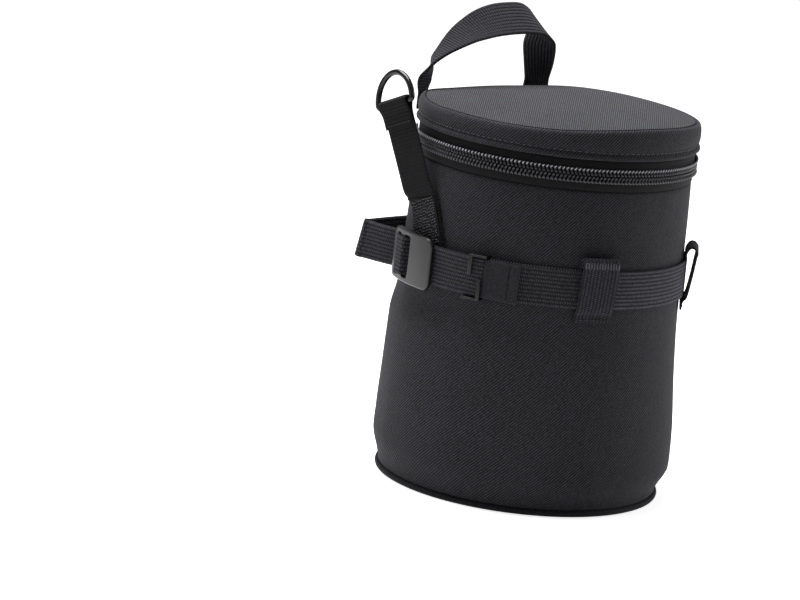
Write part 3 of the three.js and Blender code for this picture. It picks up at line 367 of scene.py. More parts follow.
def cloth(
    name, weave, pitches, dark, light, layout="strip", bump=0.5, depth=0.25, sheen=0.06, roughness=0.85
):
    """Polyester in one of its weaves. Pitches are the sizes of a cell along and across, in millimetres."""
    material, tree = start_material(name)
    pitch_u, pitch_v = (p * MM for p in pitches)
    u, v = surface_metres(tree, layout, pitch_u)
    height = weave_height(tree, weave, u, v, pitch_u, pitch_v)
    # Yarn is never even, so a noise lifts some threads and another tints broad patches
    place = add(tree, "TexCoord").outputs["Object"]
    uneven, patches = (
        add(tree, "TexNoise", {"Vector": place, "Scale": scale, "Detail": detail}).outputs["Fac"]
        for scale, detail in ((YARN_SCALE, 2.0), (PATCH_SCALE, 3.0))
    )
    lit = calc(tree, "MULTIPLY", height, calc(tree, "MULTIPLY_ADD", uneven, 1.6, 0.2))
    tint = calc(tree, "MULTIPLY_ADD", patches, 0.2, calc(tree, "POWER", lit, 1.6))
    colour = add(tree, "Mix", {0: tint, 6: linear(dark), 7: linear(light)}, data_type="RGBA")
    relief = calc(tree, "MULTIPLY_ADD", uneven, 0.4, height)
    sockets = {"Base Color": colour.outputs[2], "Roughness": roughness, "IOR": 1.5, "Specular IOR Level": 0.2}
    sockets |= {"Sheen Weight": sheen, "Sheen Roughness": 0.45, "Sheen Tint": linear("#c9c9d2")}
    close_material(tree, relief, bump, depth, sockets)
    return material


# %% Cloths, webbings and tapes
# Coarse twill of the wall, and the same cloth seen flat on the lid, painted lighter there as painted light
# from the lamp above
pack_cloth = cloth("pack_cloth_polyester_twill", "twill", (1.75, 1.75), "#040405", "#3f3f45", "round")
lid_cloth_painted_lit = cloth("lid_cloth_painted_lit_twill", "twill", (1.5, 1.5), "#060607", "#525257", "flat")
# Belt webbing: waffle in front, plain ribs round the back
waffle = cloth("waffle_webbing_polyester", "waffle", (1.25, 2.0), "#020203", "#424248", bump=0.9, depth=0.5)
ribbed = cloth("ribbed_webbing_polyester", "ribbed", (1.3, 2.0), "#040405", "#4a4a52", bump=0.9, depth=0.5)
# The handle's webbing, worn by the hand
handle_weave = cloth("ribbed_handle_webbing", "handle", (1.4, 2.1), "#010102", "#303036", bump=0.9, depth=0.5)
# The side strap's dull webbing
strap_weave = cloth(
    "cross_ribbed_strap_webbing", "crossed", (1.9, 2.5), "#020203", "#0e0e11", bump=0.9, depth=0.35
)
# The tail's end, woven finer than the belt
tail_weave = cloth("tail_webbing_fine_twill", "twill", (1.1, 1.1), "#0c0c0e", "#3c3c42", depth=0.2)
# The keepers' webbing, a finer waffle
keeper_weave = cloth(
    "keeper_webbing_fine_waffle", "waffle", (1.15, 1.9), "#030304", "#42424a", bump=0.9, depth=0.45
)
# The tape that the hooks stand on
hook_tape = cloth("hook_tape_nylon", "twill", (0.9, 0.9), "#010102", "#060607", depth=0.1, sheen=0.0)
# The zip's tapes, and the grosgrain that binds the rim and the piping
tape_weave = cloth("zip_tape_polyester", "twill", (0.9, 0.9), "#050506", "#151518", "round", depth=0.12)
binding_weave = cloth("binding_grosgrain", "crossed", (1.0, 1.0), "#0a0a0c", "#1c1c20", "round", depth=0.15)
# Grey lining, round the wall and flat on the lid and base
LINING = {"weave": "twill", "pitches": (1.0, 1.0), "dark": "#3c3d42", "light": "#56575d"}
lining_weave = cloth("lining_nylon_tricot", **LINING, layout="round", depth=0.08, roughness=0.6)
lining_flat = cloth("lining_nylon_flat", **LINING, layout="flat", depth=0.08, roughness=0.6)

# %% [markdown]
# ## Plastics, metal and thread
#
# A moulded part mirrors a lamp softly, because its surface has a fine grain. One plain roughness would
# look like wax, so a noise changes it a little, and another one, in a Bump node, breaks up the shine.


# %% Plastics, metal and thread
def moulded(name, code, roughness, grain, depth, coat=0.0, shine=0.5):
    """A smooth hard surface with a fine grain: acetal, nylon or enamelled steel."""
    material, tree = start_material(name)
    place = add(tree, "TexCoord").outputs["Object"]
    fine = add(tree, "TexNoise", {"Vector": place, "Scale": 1 / (grain * MM), "Detail": 3.0}).outputs["Fac"]
    broad = add(tree, "TexNoise", {"Vector": place, "Scale": 90.0, "Detail": 2.0}).outputs["Fac"]
    rough = add(tree, "MapRange", {"Value": broad, "To Min": roughness * 0.8, "To Max": roughness * 1.25})
    sockets = {"Base Color": linear(code), "Roughness": rough.outputs[0], "Specular IOR Level": shine}
    close_material(tree, fine, 0.35, depth, {**sockets, "Coat Weight": coat})
    return material


# The lock and the clip
lock_acetal = moulded("lock_grey_acetal", "#101012", 0.36, 0.5, 0.03)
clip_nylon = moulded("clip_black_nylon", "#060607", 0.4, 0.5, 0.03, shine=0.3)
# The D-ring, and the zip's slider, pull and stops
ring_enamel = moulded("ring_black_enamel_on_steel", "#040405", 0.25, 0.8, 0.01, coat=0.15, shine=0.35)
# The zip's coil, and the thread that sews it on, in two copies: lighter on the upper row as painted light,
# darker on the lower row as painted shade
tooth_nylon = moulded("coil_nylon", "#34343a", 0.3, 0.4, 0.02)
zip_thread_painted_lit = moulded("zip_sewing_thread_painted_lit", "#b4b4ba", 0.4, 0.3, 0.02)
zip_thread_painted_shade = moulded("zip_sewing_thread_painted_shade", "#55555a", 0.5, 0.3, 0.02)
# Sewing threads: the common one, the tail's black one, whose close row also stands for the shade in the hem's
# fold as painted shadow, and the lighter one of the topstitch
thread_nylon = moulded("bonded_nylon_thread", "#28282c", 0.6, 0.3, 0.04)
hem_thread_and_painted_shadow = moulded("black_thread_and_painted_fold_shadow", "#040405", 0.7, 0.3, 0.04, shine=0.2)
top_thread = moulded("grey_topstitch_thread", "#47474c", 0.6, 0.3, 0.04)
# The small hooks on the strap's patch, painted grey over their black tape as painted highlight on their tops
hook_nylon_painted_highlight = moulded("hook_fastener_painted_highlight", "#64646a", 0.4, 0.3, 0.03)

# %% [markdown]
# ## Turned pieces
#
# The wall, lid, tapes, binding and linings are all rings round one axis. Each starts as a closed
# outline of radius and height, and the spin operator carries it round. A whole turn merges its two
# ends. A part turn, as on the zip tapes, gets its ends filled.


# %% Helpers for turned pieces
def turned(outline, steps=192, start=0.0, angle=360.0, closed=True):
    """Carry an outline of radius and height round the axis, by an angle in degrees."""
    bm = bmesh.new()
    points = [bm.verts.new((outward(start) * r + UP * z) * MM) for r, z in outline]
    pairs = list(zip(points, points[1:])) + ([(points[-1], points[0])] if closed else [])
    lines = [bm.edges.new(pair) for pair in pairs]
    whole = angle >= 360
    how = {"axis": (0, 0, 1), "cent": (0, 0, 0), "angle": math.radians(angle), "use_merge": whole}
    bmesh.ops.spin(bm, geom=points + lines, steps=steps, **how)
    bmesh.ops.remove_doubles(bm, verts=bm.verts, dist=MM / 1000)
    if not whole:
        bmesh.ops.holes_fill(bm, edges=[e for e in bm.edges if e.is_boundary], sides=0)
    bmesh.ops.recalc_face_normals(bm, faces=bm.faces)
    return bm


def finish_piece(name, bm, body, material, replaces=(), sharp=50):
    """Turn a bmesh into a piece that rides on a body and stands for CAD nodes."""
    mesh = mesh_of(name, bm)
    mesh.materials.append(material)
    mesh.shade_smooth()
    mesh.set_sharp_from_angle(angle=math.radians(sharp))
    piece = bpy.data.objects.new(name, mesh)
    scene.collection.objects.link(piece)
    if body:
        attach(piece, body)
    if replaces:
        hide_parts(*replaces)
    print(f"{name}: {len(mesh.polygons)} faces")
    return piece


def crumple(bm, change):
    """Move points out from the axis by what change(turn, height, radius) says, in millimetres."""
    for v in bm.verts:
        radius = math.hypot(v.co.x, v.co.y) / MM
        if radius < 1:
            continue
        turn = math.degrees(math.atan2(v.co.x, -v.co.y))
        v.co += Vector((v.co.x, v.co.y, 0)).normalized() * change(turn, v.co.z / MM, radius) * MM


def scatter(shape, frames):
    """Copies of one small mesh. A frame is a place in millimetres and three directions."""
    bm = bmesh.new()
    for place, along, out, up in frames:
        before = len(bm.verts)
        bm.from_mesh(shape)
        bm.verts.ensure_lookup_table()
        for v in bm.verts[before:]:
            v.co = (place + along * v.co.x + out * v.co.y + up * v.co.z) * MM
    bmesh.ops.recalc_face_normals(bm, faces=bm.faces)
    return bm


def bead(length, thickness):
    """A long, round-ended bead: one stitch of thread, in millimetres."""
    bm = bmesh.new()
    bmesh.ops.create_uvsphere(bm, u_segments=8, v_segments=6, radius=0.5)
    for v in bm.verts:
        v.co = Vector((v.co.z * length, v.co.y * thickness, v.co.x * thickness))
    return mesh_of("bead", bm)


def seam(name, body, slot, path, length=2.3, pitch=3.2, thickness=0.45, material=None):
    """A row of stitches. The path gives places and outward directions, in millimetres."""
    places = np.array([p for p, o in path])
    outs = np.array([o for p, o in path])
    total = np.append(0, np.cumsum(np.linalg.norm(np.diff(places, axis=0), axis=1)))

    def on_path(rows, s):
        return Vector([np.interp(s, total, rows[:, k]) for k in range(3)])

    frames = []
    for s in np.arange(pitch / 2, total[-1], pitch):
        place, ahead = on_path(places, s - 0.2), on_path(places, s + 0.2)
        out = on_path(outs, s).normalized()
        along = (ahead - place).normalized()
        frames.append((place, along, out, along.cross(out)))
    stitches = scatter(bead(length, thickness), frames)
    return finish_piece(name, stitches, body, material or thread_nylon)


def gathers(turn, size):
    """Smooth noise round the pouch, from -1 to 1, that meets itself at the back."""
    return noise(outward(turn) * size)


# %% [markdown]
# ## Wall
#
# The wall is pack cloth over 6 mm of foam. It is one closed, padded form: cloth outside, and foam down
# to the lining. Foam smooths the cloth, so it only gathers a little where the zip tape is sewn in, and
# dents softly elsewhere. What the pouch holds pushes it out below the belt, more on its right side. A
# cloth simulation could find such a shape, but smooth functions of turn and height are surer.

# %% Wall
FOAM_INSIDE = 7.1
outer = [(body_radius(z), z) for z in np.arange(FOOT[1], 168.6, 3.3)]
rolled = [(72.5, 168.8), (72.35, 169.8), (72.0, 170.7), (71.5, 171.0), (70.7, 170.9), (70.4, 170.3)]
ledge = [(70.4, 167.5), (70.4, 164.9), (70.0, 164.4), (66.3, 164.4)]
inner = [(body_radius(z) - FOAM_INSIDE, z) for z in np.linspace(164.0, 8.4, 24)]
bottom = [(69.5, 7.9), (72.4, 7.8), (72.8, 6.8), (72.9, 4.6), (73.2, 3.8)]
bm = turned([*outer, *rolled, *ledge, *inner, *bottom], steps=240)

LEFT_FULL, RIGHT_FULL, FULL_TURN = 2.4, 3.8, 46


def fullness(turn, height):
    """How far the filled pouch stands out over its pattern, most at one turn on its right side."""
    right = (1 + math.cos(math.radians(turn - FULL_TURN))) / 2
    left_side = LEFT_FULL * (1 - blend_in(height, 84, 103)) * blend_in(height, 7, 22)
    right_side = RIGHT_FULL * (1 - blend_in(height, 25, 100)) * blend_in(height, 6, 18)
    return left_side * (1 - right) + right_side * right


def wall_dents(turn, height, radius):
    """Moves the cloth only, and leaves the foam's inside and the ledge as they are."""
    if radius < body_radius(height) - 2:
        return 0.0
    near_zip = blend_in(height, 150, 170)
    near_foot = 1 - blend_in(height, 6, 26)
    broad = -0.5 * abs(noise(outward(turn) * 1.6 + UP * height / 40))
    seams = 0.3 * near_zip * (gathers(turn, 12) - 0.6) + 0.2 * near_foot * gathers(turn, 9)
    return fullness(turn, height) + broad * (1 - near_zip) + seams


crumple(bm, wall_dents)
wall = finish_piece("padded_wall", bm, "pouch", pack_cloth, ["wall_shell", "wall_foam"])

# %% [markdown]
# ## Base, welt and linings
#
# The base is a flat padded disc, and bound piping covers the seam round it. Inside, a thin lining
# hangs loosely on the foam, so it is a thin tube whose inner face a noise moves in and out. A tape
# binds the top edge of the padding.

# %% Base and welt
sole = [(0, 0), (40, 0), (69.5, 0), (71.3, 0.25), (72.0, 0.9), (72.0, 2.0)]
sole += [(71.6, 7.2), (71.0, 7.5), (40, 7.5), (0, 7.5)]
bm = turned(sole, closed=False)
pad = finish_piece("padded_base", bm, "pouch", lid_cloth_painted_lit, ["base_panel", "base_foam"])

WELT_SIDES, WELT_SEAT, WELT_HEIGHT, WELT_RADIUS = 14, 74, 1.7, 1.5
ring_turns = [2 * math.pi * i / WELT_SIDES for i in range(WELT_SIDES)]
welt = [(WELT_SEAT + WELT_RADIUS * math.cos(a), WELT_HEIGHT + WELT_RADIUS * math.sin(a)) for a in ring_turns]
finish_piece("base_piping", turned(welt, steps=240), "pouch", binding_weave, ["base_welt"])

# %% Linings and rim binding
LINING_OUTSIDE, LINING_INSIDE = 7.4, 8.2


def lining_dents(turn, height, radius):
    """Moves the inner face of the lining, which hangs loosely."""
    if radius < body_radius(height) - 7.8:
        return -0.35 - 0.35 * noise(outward(turn) * 3 + UP * height / 25)
    return 0


lining = [(body_radius(z) - LINING_OUTSIDE, z) for z in np.linspace(7.9, 164.3, 40)]
lining += [(body_radius(z) - LINING_INSIDE, z) for z in np.linspace(164.3, 7.9, 40)]
bm = turned(lining)
crumple(bm, lining_dents)
finish_piece("wall_lining_cloth", bm, "pouch", lining_weave, ["wall_lining"])
disc = [(0, 7.85), (66.1, 7.85), (66.2, 8.2), (66.0, 8.6), (64, 8.65), (40, 8.6), (0, 8.6)]
bm = turned(disc, closed=False)
finish_piece("base_lining_cloth", bm, "pouch", lining_flat, ["base_lining"])

rim = [(68.9, 164.8), (69.0, 166), (68.9, 168.0), (68.3, 168.6), (64.0, 168.7), (63.2, 168.2)]
rim += [(62.9, 167.2), (62.9, 160.0), (63.1, 159.5), (63.5, 159.6), (63.55, 164.5)]
finish_piece("rim_binding_tape", turned(rim), "pouch", binding_weave, ["rim_binding"])

# %% [markdown]
# ## Lid
#
# The lid is a crowned, foam-filled top in a band of the same cloth. The band's lower edge is turned
# under and stitched down. That makes a small roll, which catches the light above the zip. The crown's
# edge is drawn in by its seam.

# %% Lid
# From the band's inner lower edge, round its roll and past the stitching, up to the seam
band = [(72.9, 187.4), (73.9, 187.5), (74.5, 188.1), (74.6, 188.8), (74.2, 189.7), (73.5, 190.3)]
band += [(73.25, 190.8), (73.45, 191.5), (73.9, 192.6), (74.2, 194), (74.15, 196), (73.9, 197.6)]
band += [(73.4, 198.8), (72.7, 199.6), (71.9, 199.85), (71.2, 199.6), (70.9, 199.0)]
# And back down inside
band += [(72.0, 197.6), (72.8, 196), (72.9, 193), (72.6, 190.6), (72.2, 189), (72.3, 187.8)]
bm = turned(band, steps=288)

# The seam isn't cut quite level: its rise in millimetres at some turns
SEAM_TURNS = [-163, -150, -132, -110, -99, -70, -45, -28, -10, 2, 14, 30, 57, 90, 116, 136, 154, 172]
SEAM_RISES = [-2.4, -1, 0, -1, 0, 0, 0.6, 2.2, 3.7, 3.9, 3.4, 2.9, 1.3, 1.3, 1.9, 1.4, -1.4, -2.8]


def seam_rise(co):
    """How far the crown's seam rises at a place, as a mean over 18 degrees."""
    turn = math.degrees(math.atan2(co.x, -co.y))
    near = turn + np.linspace(-9, 9, 7)
    return float(np.interp(near, SEAM_TURNS, SEAM_RISES, period=360).mean())


def band_gathers(turn, height, radius):
    """Moves the band's outside only, most at the stitching."""
    if radius < 72.95:
        return 0.0
    return 0.16 * hump(height, 190.5, 1.6) * gathers(turn, 26) + 0.12 * (gathers(turn, 7) - 0.5)


crumple(bm, band_gathers)
for v in bm.verts:
    v.co.z += seam_rise(v.co) * blend_in(v.co.z / MM, 192.5, 199.2) * MM
finish_piece("lid_band_cloth", bm, "lid", pack_cloth, ["lid_band"])

# %% [markdown]
# ## The lid's top
#
# The crown is foam under cloth, so it is one padded form too, high in the middle and flat near the
# seam. A row of lighter stitches holds the band's roll, and a lining closes the lid from below.

# %% Top pad, topstitch and lining of the lid
PAD_RADIUS, CROWN_POWER = 70.4, 2.5
crown = []
for share in np.linspace(0, 1, 36):
    r = PAD_RADIUS * share
    crown.append((r, SEAM_LEVEL + CROWN * (1 - (r / SEAM_RADIUS) ** CROWN_POWER)))
under = [(70.65, 199.2), (70.7, 197), (70.7, 194.4), (70.2, 193.85), (50, 193.8), (0, 193.8)]
bm = turned([*crown, *under], steps=192, closed=False)
for v in bm.verts:
    share = math.hypot(v.co.x, v.co.y) / MM / PAD_RADIUS
    if v.co.z / MM > SEAM_LEVEL - 0.2:
        v.co.z += 0.5 * MM * (1 - share**4) * noise(v.co * 28)
    v.co.z += seam_rise(v.co) * share**CROWN_POWER * blend_in(v.co.z / MM, 194.5, 199.2) * MM
# The crown's cloth is painted lighter than the wall's: painted light from above
top_pad = finish_piece("lid_top_pad", bm, "lid", lid_cloth_painted_lit, ["lid_top_panel", "lid_foam"])

STITCH_RADIUS, STITCH_HEIGHT = 73.6, 191.4
stitch_turns = np.linspace(-180, 180, 361)
stitched = [(outward(t) * STITCH_RADIUS + UP * STITCH_HEIGHT, outward(t)) for t in stitch_turns]
seam("lid_topstitch", "lid", "pack_cloth", stitched, material=top_thread)

skirt = [(0, 193.4), (69.9, 193.4), (70.5, 193.1), (70.65, 192), (70.6, 186.2), (70.25, 185.8)]
skirt += [(69.9, 186.2), (69.85, 191.5), (69.2, 192.5), (50, 192.75), (0, 192.7)]
bm = turned(skirt, closed=False)
finish_piece("lid_lining_cloth", bm, "lid", lining_flat, ["lid_lining"])

# %% [markdown]
# ## Zip
#
# A coil zip is two woven tapes with a nylon coil sewn along each. From outside, each turn of the coil
# shows as a slanted bar: a hump where it turns, a dip where the sewing thread holds it, and a head that
# meets the other row. One bar is modelled from a cone, and copied along both tapes.

# %% Tapes and hinge
lower_tape = [(69.4, 165), (70.1, 165), (70.1, 171.2), (72.1, 171.3), (72.4, 171.7), (72.4, 178.2)]
lower_tape += [(72.2, 178.4), (71.7, 178.4), (71.6, 178.2), (71.6, 172.3), (71.3, 172.1), (69.4, 172.0)]
upper_tape = [(71.0, 193.4), (71.0, 186.4), (71.5, 186.3), (71.6, 186.0), (71.6, 180.4), (71.7, 180.2)]
upper_tape += [(72.2, 180.2), (72.4, 180.4), (72.4, 186.9), (72.2, 187.1), (71.8, 187.2), (71.8, 193.4)]
for name, outline, body, node in (
    ("lower_zip_tape", lower_tape, "pouch", "zip_tape_lower"),
    ("upper_zip_tape", upper_tape, "lid", "zip_tape_upper"),
):
    bm = turned(outline, steps=180, start=-ZIP_END, angle=2 * ZIP_END)
    finish_piece(name, bm, body, tape_weave, [node])

# The hinge is drawn with many rows across its height
HINGE_START, HINGE_TURN, HINGE_ROW = 143.5, 73.0, 0.8
outside = [(72.4, z) for z in np.arange(171.6, 187.0, HINGE_ROW)]
inside = [(71.6, z) for z in np.arange(186.4, 171.9, -HINGE_ROW)]
hinge = [(70.1, 165.2), (70.1, 170.9), *outside, (71.8, 187.4), (71.8, 193.2)]
hinge += [(71.0, 193.2), (71.0, 187.0), *inside, (69.3, 171.6), (69.3, 165.2)]
bm = turned(hinge, steps=60, start=HINGE_START, angle=HINGE_TURN)
stood_for = ["hinge_leaf_lower", "hinge_leaf_upper"]
piece = finish_piece("fabric_hinge", bm, None, pack_cloth, stood_for)
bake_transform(piece)

# %% [markdown]
# ## Teeth
#
# Each bar starts as a thin cone of 3.5 mm with equal ends, cut across at seven places. Then its points
# are moved: out at the hump and the head, in at the dip, and sideways for the slant. The two rows
# stand half a step apart, as a closed coil does.

# %% Teeth
TOOTH_COUNT, TOOTH_SEAT, CHAIN_END = 170, 73.6, 135.2
TOOTH_LENGTH, TOOTH_SLANT, TOOTH_GAP = 3.5, 0.42, 0.12
# Places along a bar, from its head: the head's swelling, the dip under the thread, and the turn's hump
HEAD, DIP, TURN_HUMP, SLANT_MIDDLE = 0.6, 1.65, 2.8, 1.7
bm = bmesh.new()
bmesh.ops.create_cone(bm, cap_ends=True, segments=8, radius1=0.5, radius2=0.5, depth=TOOTH_LENGTH)
for cut in (-1.45, -1.0, -0.55, -0.1, 0.35, 0.8, 1.3):
    parts = bm.verts[:] + bm.edges[:] + bm.faces[:]
    bmesh.ops.bisect_plane(bm, geom=parts, plane_co=(0, 0, cut), plane_no=(0, 0, 1))
for v in bm.verts:
    along = v.co.z + TOOTH_LENGTH / 2
    swell = 1 + 0.3 * hump(along, TURN_HUMP, 0.5) + 0.3 * hump(along, HEAD, 0.5)
    if abs(abs(v.co.z) - TOOTH_LENGTH / 2) < 0.01:
        swell = 0.5
    sunk = 0.5 * hump(along, DIP, 0.3)
    slanted = v.co.x * swell - TOOTH_SLANT * (along - SLANT_MIDDLE)
    v.co = Vector((slanted, v.co.y * swell - sunk, along + TOOTH_GAP))
tooth = mesh_of("tooth", bm)


def on_chain(turn, radius, height, flip):
    """A frame on the zip for scatter: along it, out of it, and away from its middle."""
    return outward(turn) * radius + UP * height, around(turn), outward(turn), UP * flip


spots = np.linspace(-CHAIN_END, CHAIN_END, TOOTH_COUNT)
half = (spots[1] - spots[0]) / 2
lower = scatter(tooth, [on_chain(t, TOOTH_SEAT, ZIP_LEVEL, -1) for t in spots])
upper = scatter(tooth, [on_chain(t + half, TOOTH_SEAT, ZIP_LEVEL, 1) for t in spots[:-1]])
finish_piece("lower_coil", lower, "pouch", tooth_nylon, ["zip_teeth_lower"])
finish_piece("upper_coil", upper, "lid", tooth_nylon, ["zip_teeth_upper"])
print("bars of the coil:", 2 * TOOTH_COUNT - 1)

# %% [markdown]
# ## Thread over the coil
#
# The coil is held on its tape by a lock stitch that shows as one short slanted dash on each bar. Its thread
# is painted lighter on the upper row, where the light falls on it, and darker on the lower row, as painted
# shade.

# %% Thread over the coil
THREAD_OFFSET, THREAD_SEAT, THREAD_SLANT = 3.15, 74.2, 1.2
dash = bead(1.6, 0.62)
for name, body, flip, shift, material in (
    ("lower_coil_thread", "pouch", -1, 0, zip_thread_painted_shade),
    ("upper_coil_thread", "lid", 1, half, zip_thread_painted_lit),
):
    frames = []
    for t in spots[:-1] + shift:
        place, a, o, u = on_chain(t, THREAD_SEAT, ZIP_LEVEL + flip * THREAD_OFFSET, flip)
        slant = (a + u * THREAD_SLANT).normalized()
        frames.append((place, slant, o, slant.cross(o)))
    finish_piece(name, scatter(dash, frames), body, material)

# %% [markdown]
# ## Webbing
#
# Webbing is woven flat and then laid where it goes, and it is modelled in that order. A grid is drawn
# flat, its length and width are kept as a UV map in metres for the weave, and it is given its
# thickness with thin selvedges. Then every point is carried to a smooth line through a few knots. A
# knot is a place, the direction across the webbing there, and a share of its width.

# %% Helpers for webbing
# Shares of the width where the rows lie, and the share of the thickness at the outer two
SELVEDGE = [0, 0.015, 0.05, 0.12, 0.25, 0.4, 0.5, 0.6, 0.75, 0.88, 0.95, 0.985, 1]
EDGE_THICKNESS = {0: 0.3, 1: 0.75}
CUT_END_THICKNESS = 0.6


# Steps between two knots of a curve
KNOT_STEPS = 14


def smooth_line(knots):
    """Rows of numbers on a curve through the knots, by the Catmull-Rom rule."""
    p = np.array(knots, float)
    p = np.vstack([2 * p[0] - p[1], p, 2 * p[-1] - p[-2]])
    t = np.linspace(0, 1, KNOT_STEPS, endpoint=False)[:, None]
    rows = []
    for a, b, c, d in zip(p, p[1:], p[2:], p[3:]):
        bend, twist = 2 * a - 5 * b + 4 * c - d, 3 * b - a - 3 * c + d
        rows.append(0.5 * (2 * b + (c - a) * t + bend * t**2 + twist * t**3))
    return np.vstack([*rows, p[-2:-1]])


def knot(place, across, width=1.0):
    """Place, direction across the webbing, and a share of its width."""
    return [*place, *across, width]


def webbing_strip(knots, width, thickness, spacing=1.0, bump_at=None):
    """A strip laid along the knots, in millimetres until its last line."""
    line = smooth_line(knots)
    steps = np.linalg.norm(np.diff(line[:, :3], axis=0), axis=1)
    line = line[np.append(True, steps > 1e-6)]
    total = np.append(0, np.cumsum(np.linalg.norm(np.diff(line[:, :3], axis=0), axis=1)))
    length, last = total[-1], len(SELVEDGE) - 1
    print(f"webbing of {length:.1f} by {width} mm")
    bm = bmesh.new()
    bmesh.ops.create_grid(bm, x_segments=max(4, round(length / spacing)), y_segments=last, size=0.5)
    for v in bm.verts:
        row = round((v.co.y + 0.5) * last)
        v.co.y = (SELVEDGE[row] - 0.5) * width
        v.co.x = (v.co.x + 0.5) * length
        v.co.z = EDGE_THICKNESS.get(min(row, last - row), 1.0)
        if v.co.x < 0.01 or v.co.x > length - 0.01:
            v.co.z = min(v.co.z, CUT_END_THICKNESS)
    made = bmesh.ops.extrude_face_region(bm, geom=bm.faces[:], use_keep_orig=True)
    for v in made["geom"]:
        if isinstance(v, bmesh.types.BMVert):
            v.co.z = -v.co.z
    uv = bm.loops.layers.uv.new("weave")
    for face in bm.faces:
        for loop in face.loops:
            loop[uv].uv = (loop.vert.co.x * MM, loop.vert.co.y * MM)
    co = np.array([v.co for v in bm.verts])

    def pick(rows):
        return np.stack([np.interp(co[:, 0], total, rows[:, k]) for k in range(rows.shape[1])], 1)

    run = pick(np.gradient(line[:, :3], total, axis=0))
    run /= np.linalg.norm(run, axis=1)[:, None]
    across = pick(line[:, 3:6])
    across -= (across * run).sum(1)[:, None] * run
    across /= np.linalg.norm(across, axis=1)[:, None]
    lift = co[:, 2] * thickness / 2
    if bump_at is not None:
        lift = lift + bump_at(co[:, 0], length) * np.sign(co[:, 2])
    sideways = across * (co[:, 1] * pick(line[:, 6:7])[:, 0])[:, None]
    moved = pick(line[:, :3]) + sideways + np.cross(run, across) * lift[:, None]
    for v, place in zip(bm.verts, moved):
        v.co = Vector(place) * MM
    bmesh.ops.recalc_face_normals(bm, faces=bm.faces)
    return bm


def webbing_piece(name, knots, material, replaces=(), body="pouch", size=(BELT_WIDTH, BELT_THICK), **how):
    """A finished strip, whose size is its width and thickness."""
    return finish_piece(name, webbing_strip(knots, *size, **how), body, material, replaces)


def on_wall(turn, height, lift):
    """A place that stands off the wall."""
    return outward(turn) * (body_radius(height) + lift) + UP * height


def wall_knot(turn, height, lift):
    """A knot of webbing that lies along the wall's slope."""
    return knot(on_wall(turn, height, lift), UP - outward(turn) * TAPER)


# %% [markdown]
# ## Belt
#
# The belt leaves the lock under its own tail, goes round the front, the right and the back, stands
# off the left side in a free loop, and comes back to the lock. It is a waffle weave at the front and in
# the loop, and plain ribs elsewhere, so it is made of three strips that meet under keepers and seams.
# The thread that closes the weave shows as small loops on its upper edge.

# %% Belt
# Its gap to the wall, and how much farther out it runs under the tail and the lock
BELT_CLEAR, BELT_RAISE = 0.45, 1.4
# The loops of the selvedge stand a little over the belt's edge
LOOPS_RISE = BELT_WIDTH / 2 + 0.1


def belt_lift(turn):
    """How far the middle of the belt stands off the wall."""
    raised = blend_in(turn, -123, -114) * (1 - blend_in(turn, -52, -43))
    return BELT_CLEAR + BELT_RAISE * raised + BELT_THICK / 2


front = [wall_knot(t, BELT_LEVEL, belt_lift(t)) for t in np.linspace(-91, -21.6, 24)]
webbing_piece("belt_front_strip", front, waffle, ["belt_webbing"])

edge = []
for t in np.linspace(-64, -23, 60):
    seat = body_radius(BELT_LEVEL + BELT_WIDTH / 2) + belt_lift(t)
    edge.append((outward(t) * seat + UP * (BELT_LEVEL + LOOPS_RISE), outward(t)))
size = {"length": 0.9, "pitch": 1.5, "thickness": 0.75}
seam("belt_selvedge_loops", "pouch", "webbing", edge, material=top_thread, **size)

back = [wall_knot(t, BELT_LEVEL, belt_lift(t)) for t in np.linspace(-21.2, 203, 70)]
webbing_piece("belt_back_strip", back, ribbed)

# %% [markdown]
# ## Free loop
#
# At the left the belt stands away from the wall, so that a hand or a hook can go behind it. Its middle
# line leaves the wall, turns round a half circle and comes back to the lock, and its top leans inwards.

# %% Free loop
LOCK_SEAT = 77.4
LOOP_TURN, LOOP_MIDDLE, LOOP_HALF, LOOP_LEAN = -129.5, 93.0, 3.3, 0.16
lock_middle = LOCK_SEAT + BELT_THICK / 2
side, out = around(LOOP_TURN), outward(LOOP_TURN)
tip = []
for a in np.radians([-90, -45, 0, 45, 90]):
    tip.append(out * (LOOP_MIDDLE + LOOP_HALF * math.cos(a)) + side * LOOP_HALF * math.sin(a))
loop = [outward(t) * (body_radius(BELT_LEVEL) + belt_lift(t)) for t in (203.4, 207.5, 212)]
root, enter = loop[-1], outward(-117) * lock_middle
loop += [root.lerp(tip[0], 0.5) - out * 0.6, *tip, tip[-1].lerp(enter, 0.5) + side * 0.4]
loop += [enter, outward(-114.6) * lock_middle, outward(-112.6) * lock_middle]
knots = []
for place in loop:
    tilt = out * LOOP_LEAN * blend_in(place.dot(out), 80, 92)
    knots.append(knot(place + UP * BELT_LEVEL, UP - tilt))
webbing_piece("belt_free_loop", knots, waffle, spacing=0.7)

# %% [markdown]
# ## Tail
#
# What is left of the belt behind the lock lies over it and ends in a folded, sewn hem. The end is woven
# finer than the belt, so the tail is two strips that meet under the clip. The free end hangs a little,
# but only as far as the clip can still slide past it.

# %% Tail
TAIL_LAYER = BELT_THICK + 0.3
TAIL_DROP, TAIL_JOIN, TAIL_END = 0.4, -65.5, -51.5
# Length of the hem from the end, where its stitches draw it in, and their turn
HEM_LENGTH, HEM_SEAM, HEM_TURN = 6.2, 5.2, -55.6


def tail_knot(turn):
    """A knot of the tail, which lies on the belt and sinks a little towards its end."""
    height = BELT_LEVEL - TAIL_DROP * blend_in(turn, -62, -52)
    return wall_knot(turn, height, belt_lift(turn) + TAIL_LAYER)


def folded_hem(x, length):
    """The hem is double, so it is thicker, and thinner again at its stitches."""
    near_end = np.clip((x - (length - HEM_LENGTH)) / 0.8, 0, 1)
    return near_end * (0.28 - 0.4 * np.exp(-(((x - (length - HEM_SEAM)) / 0.4) ** 2)))


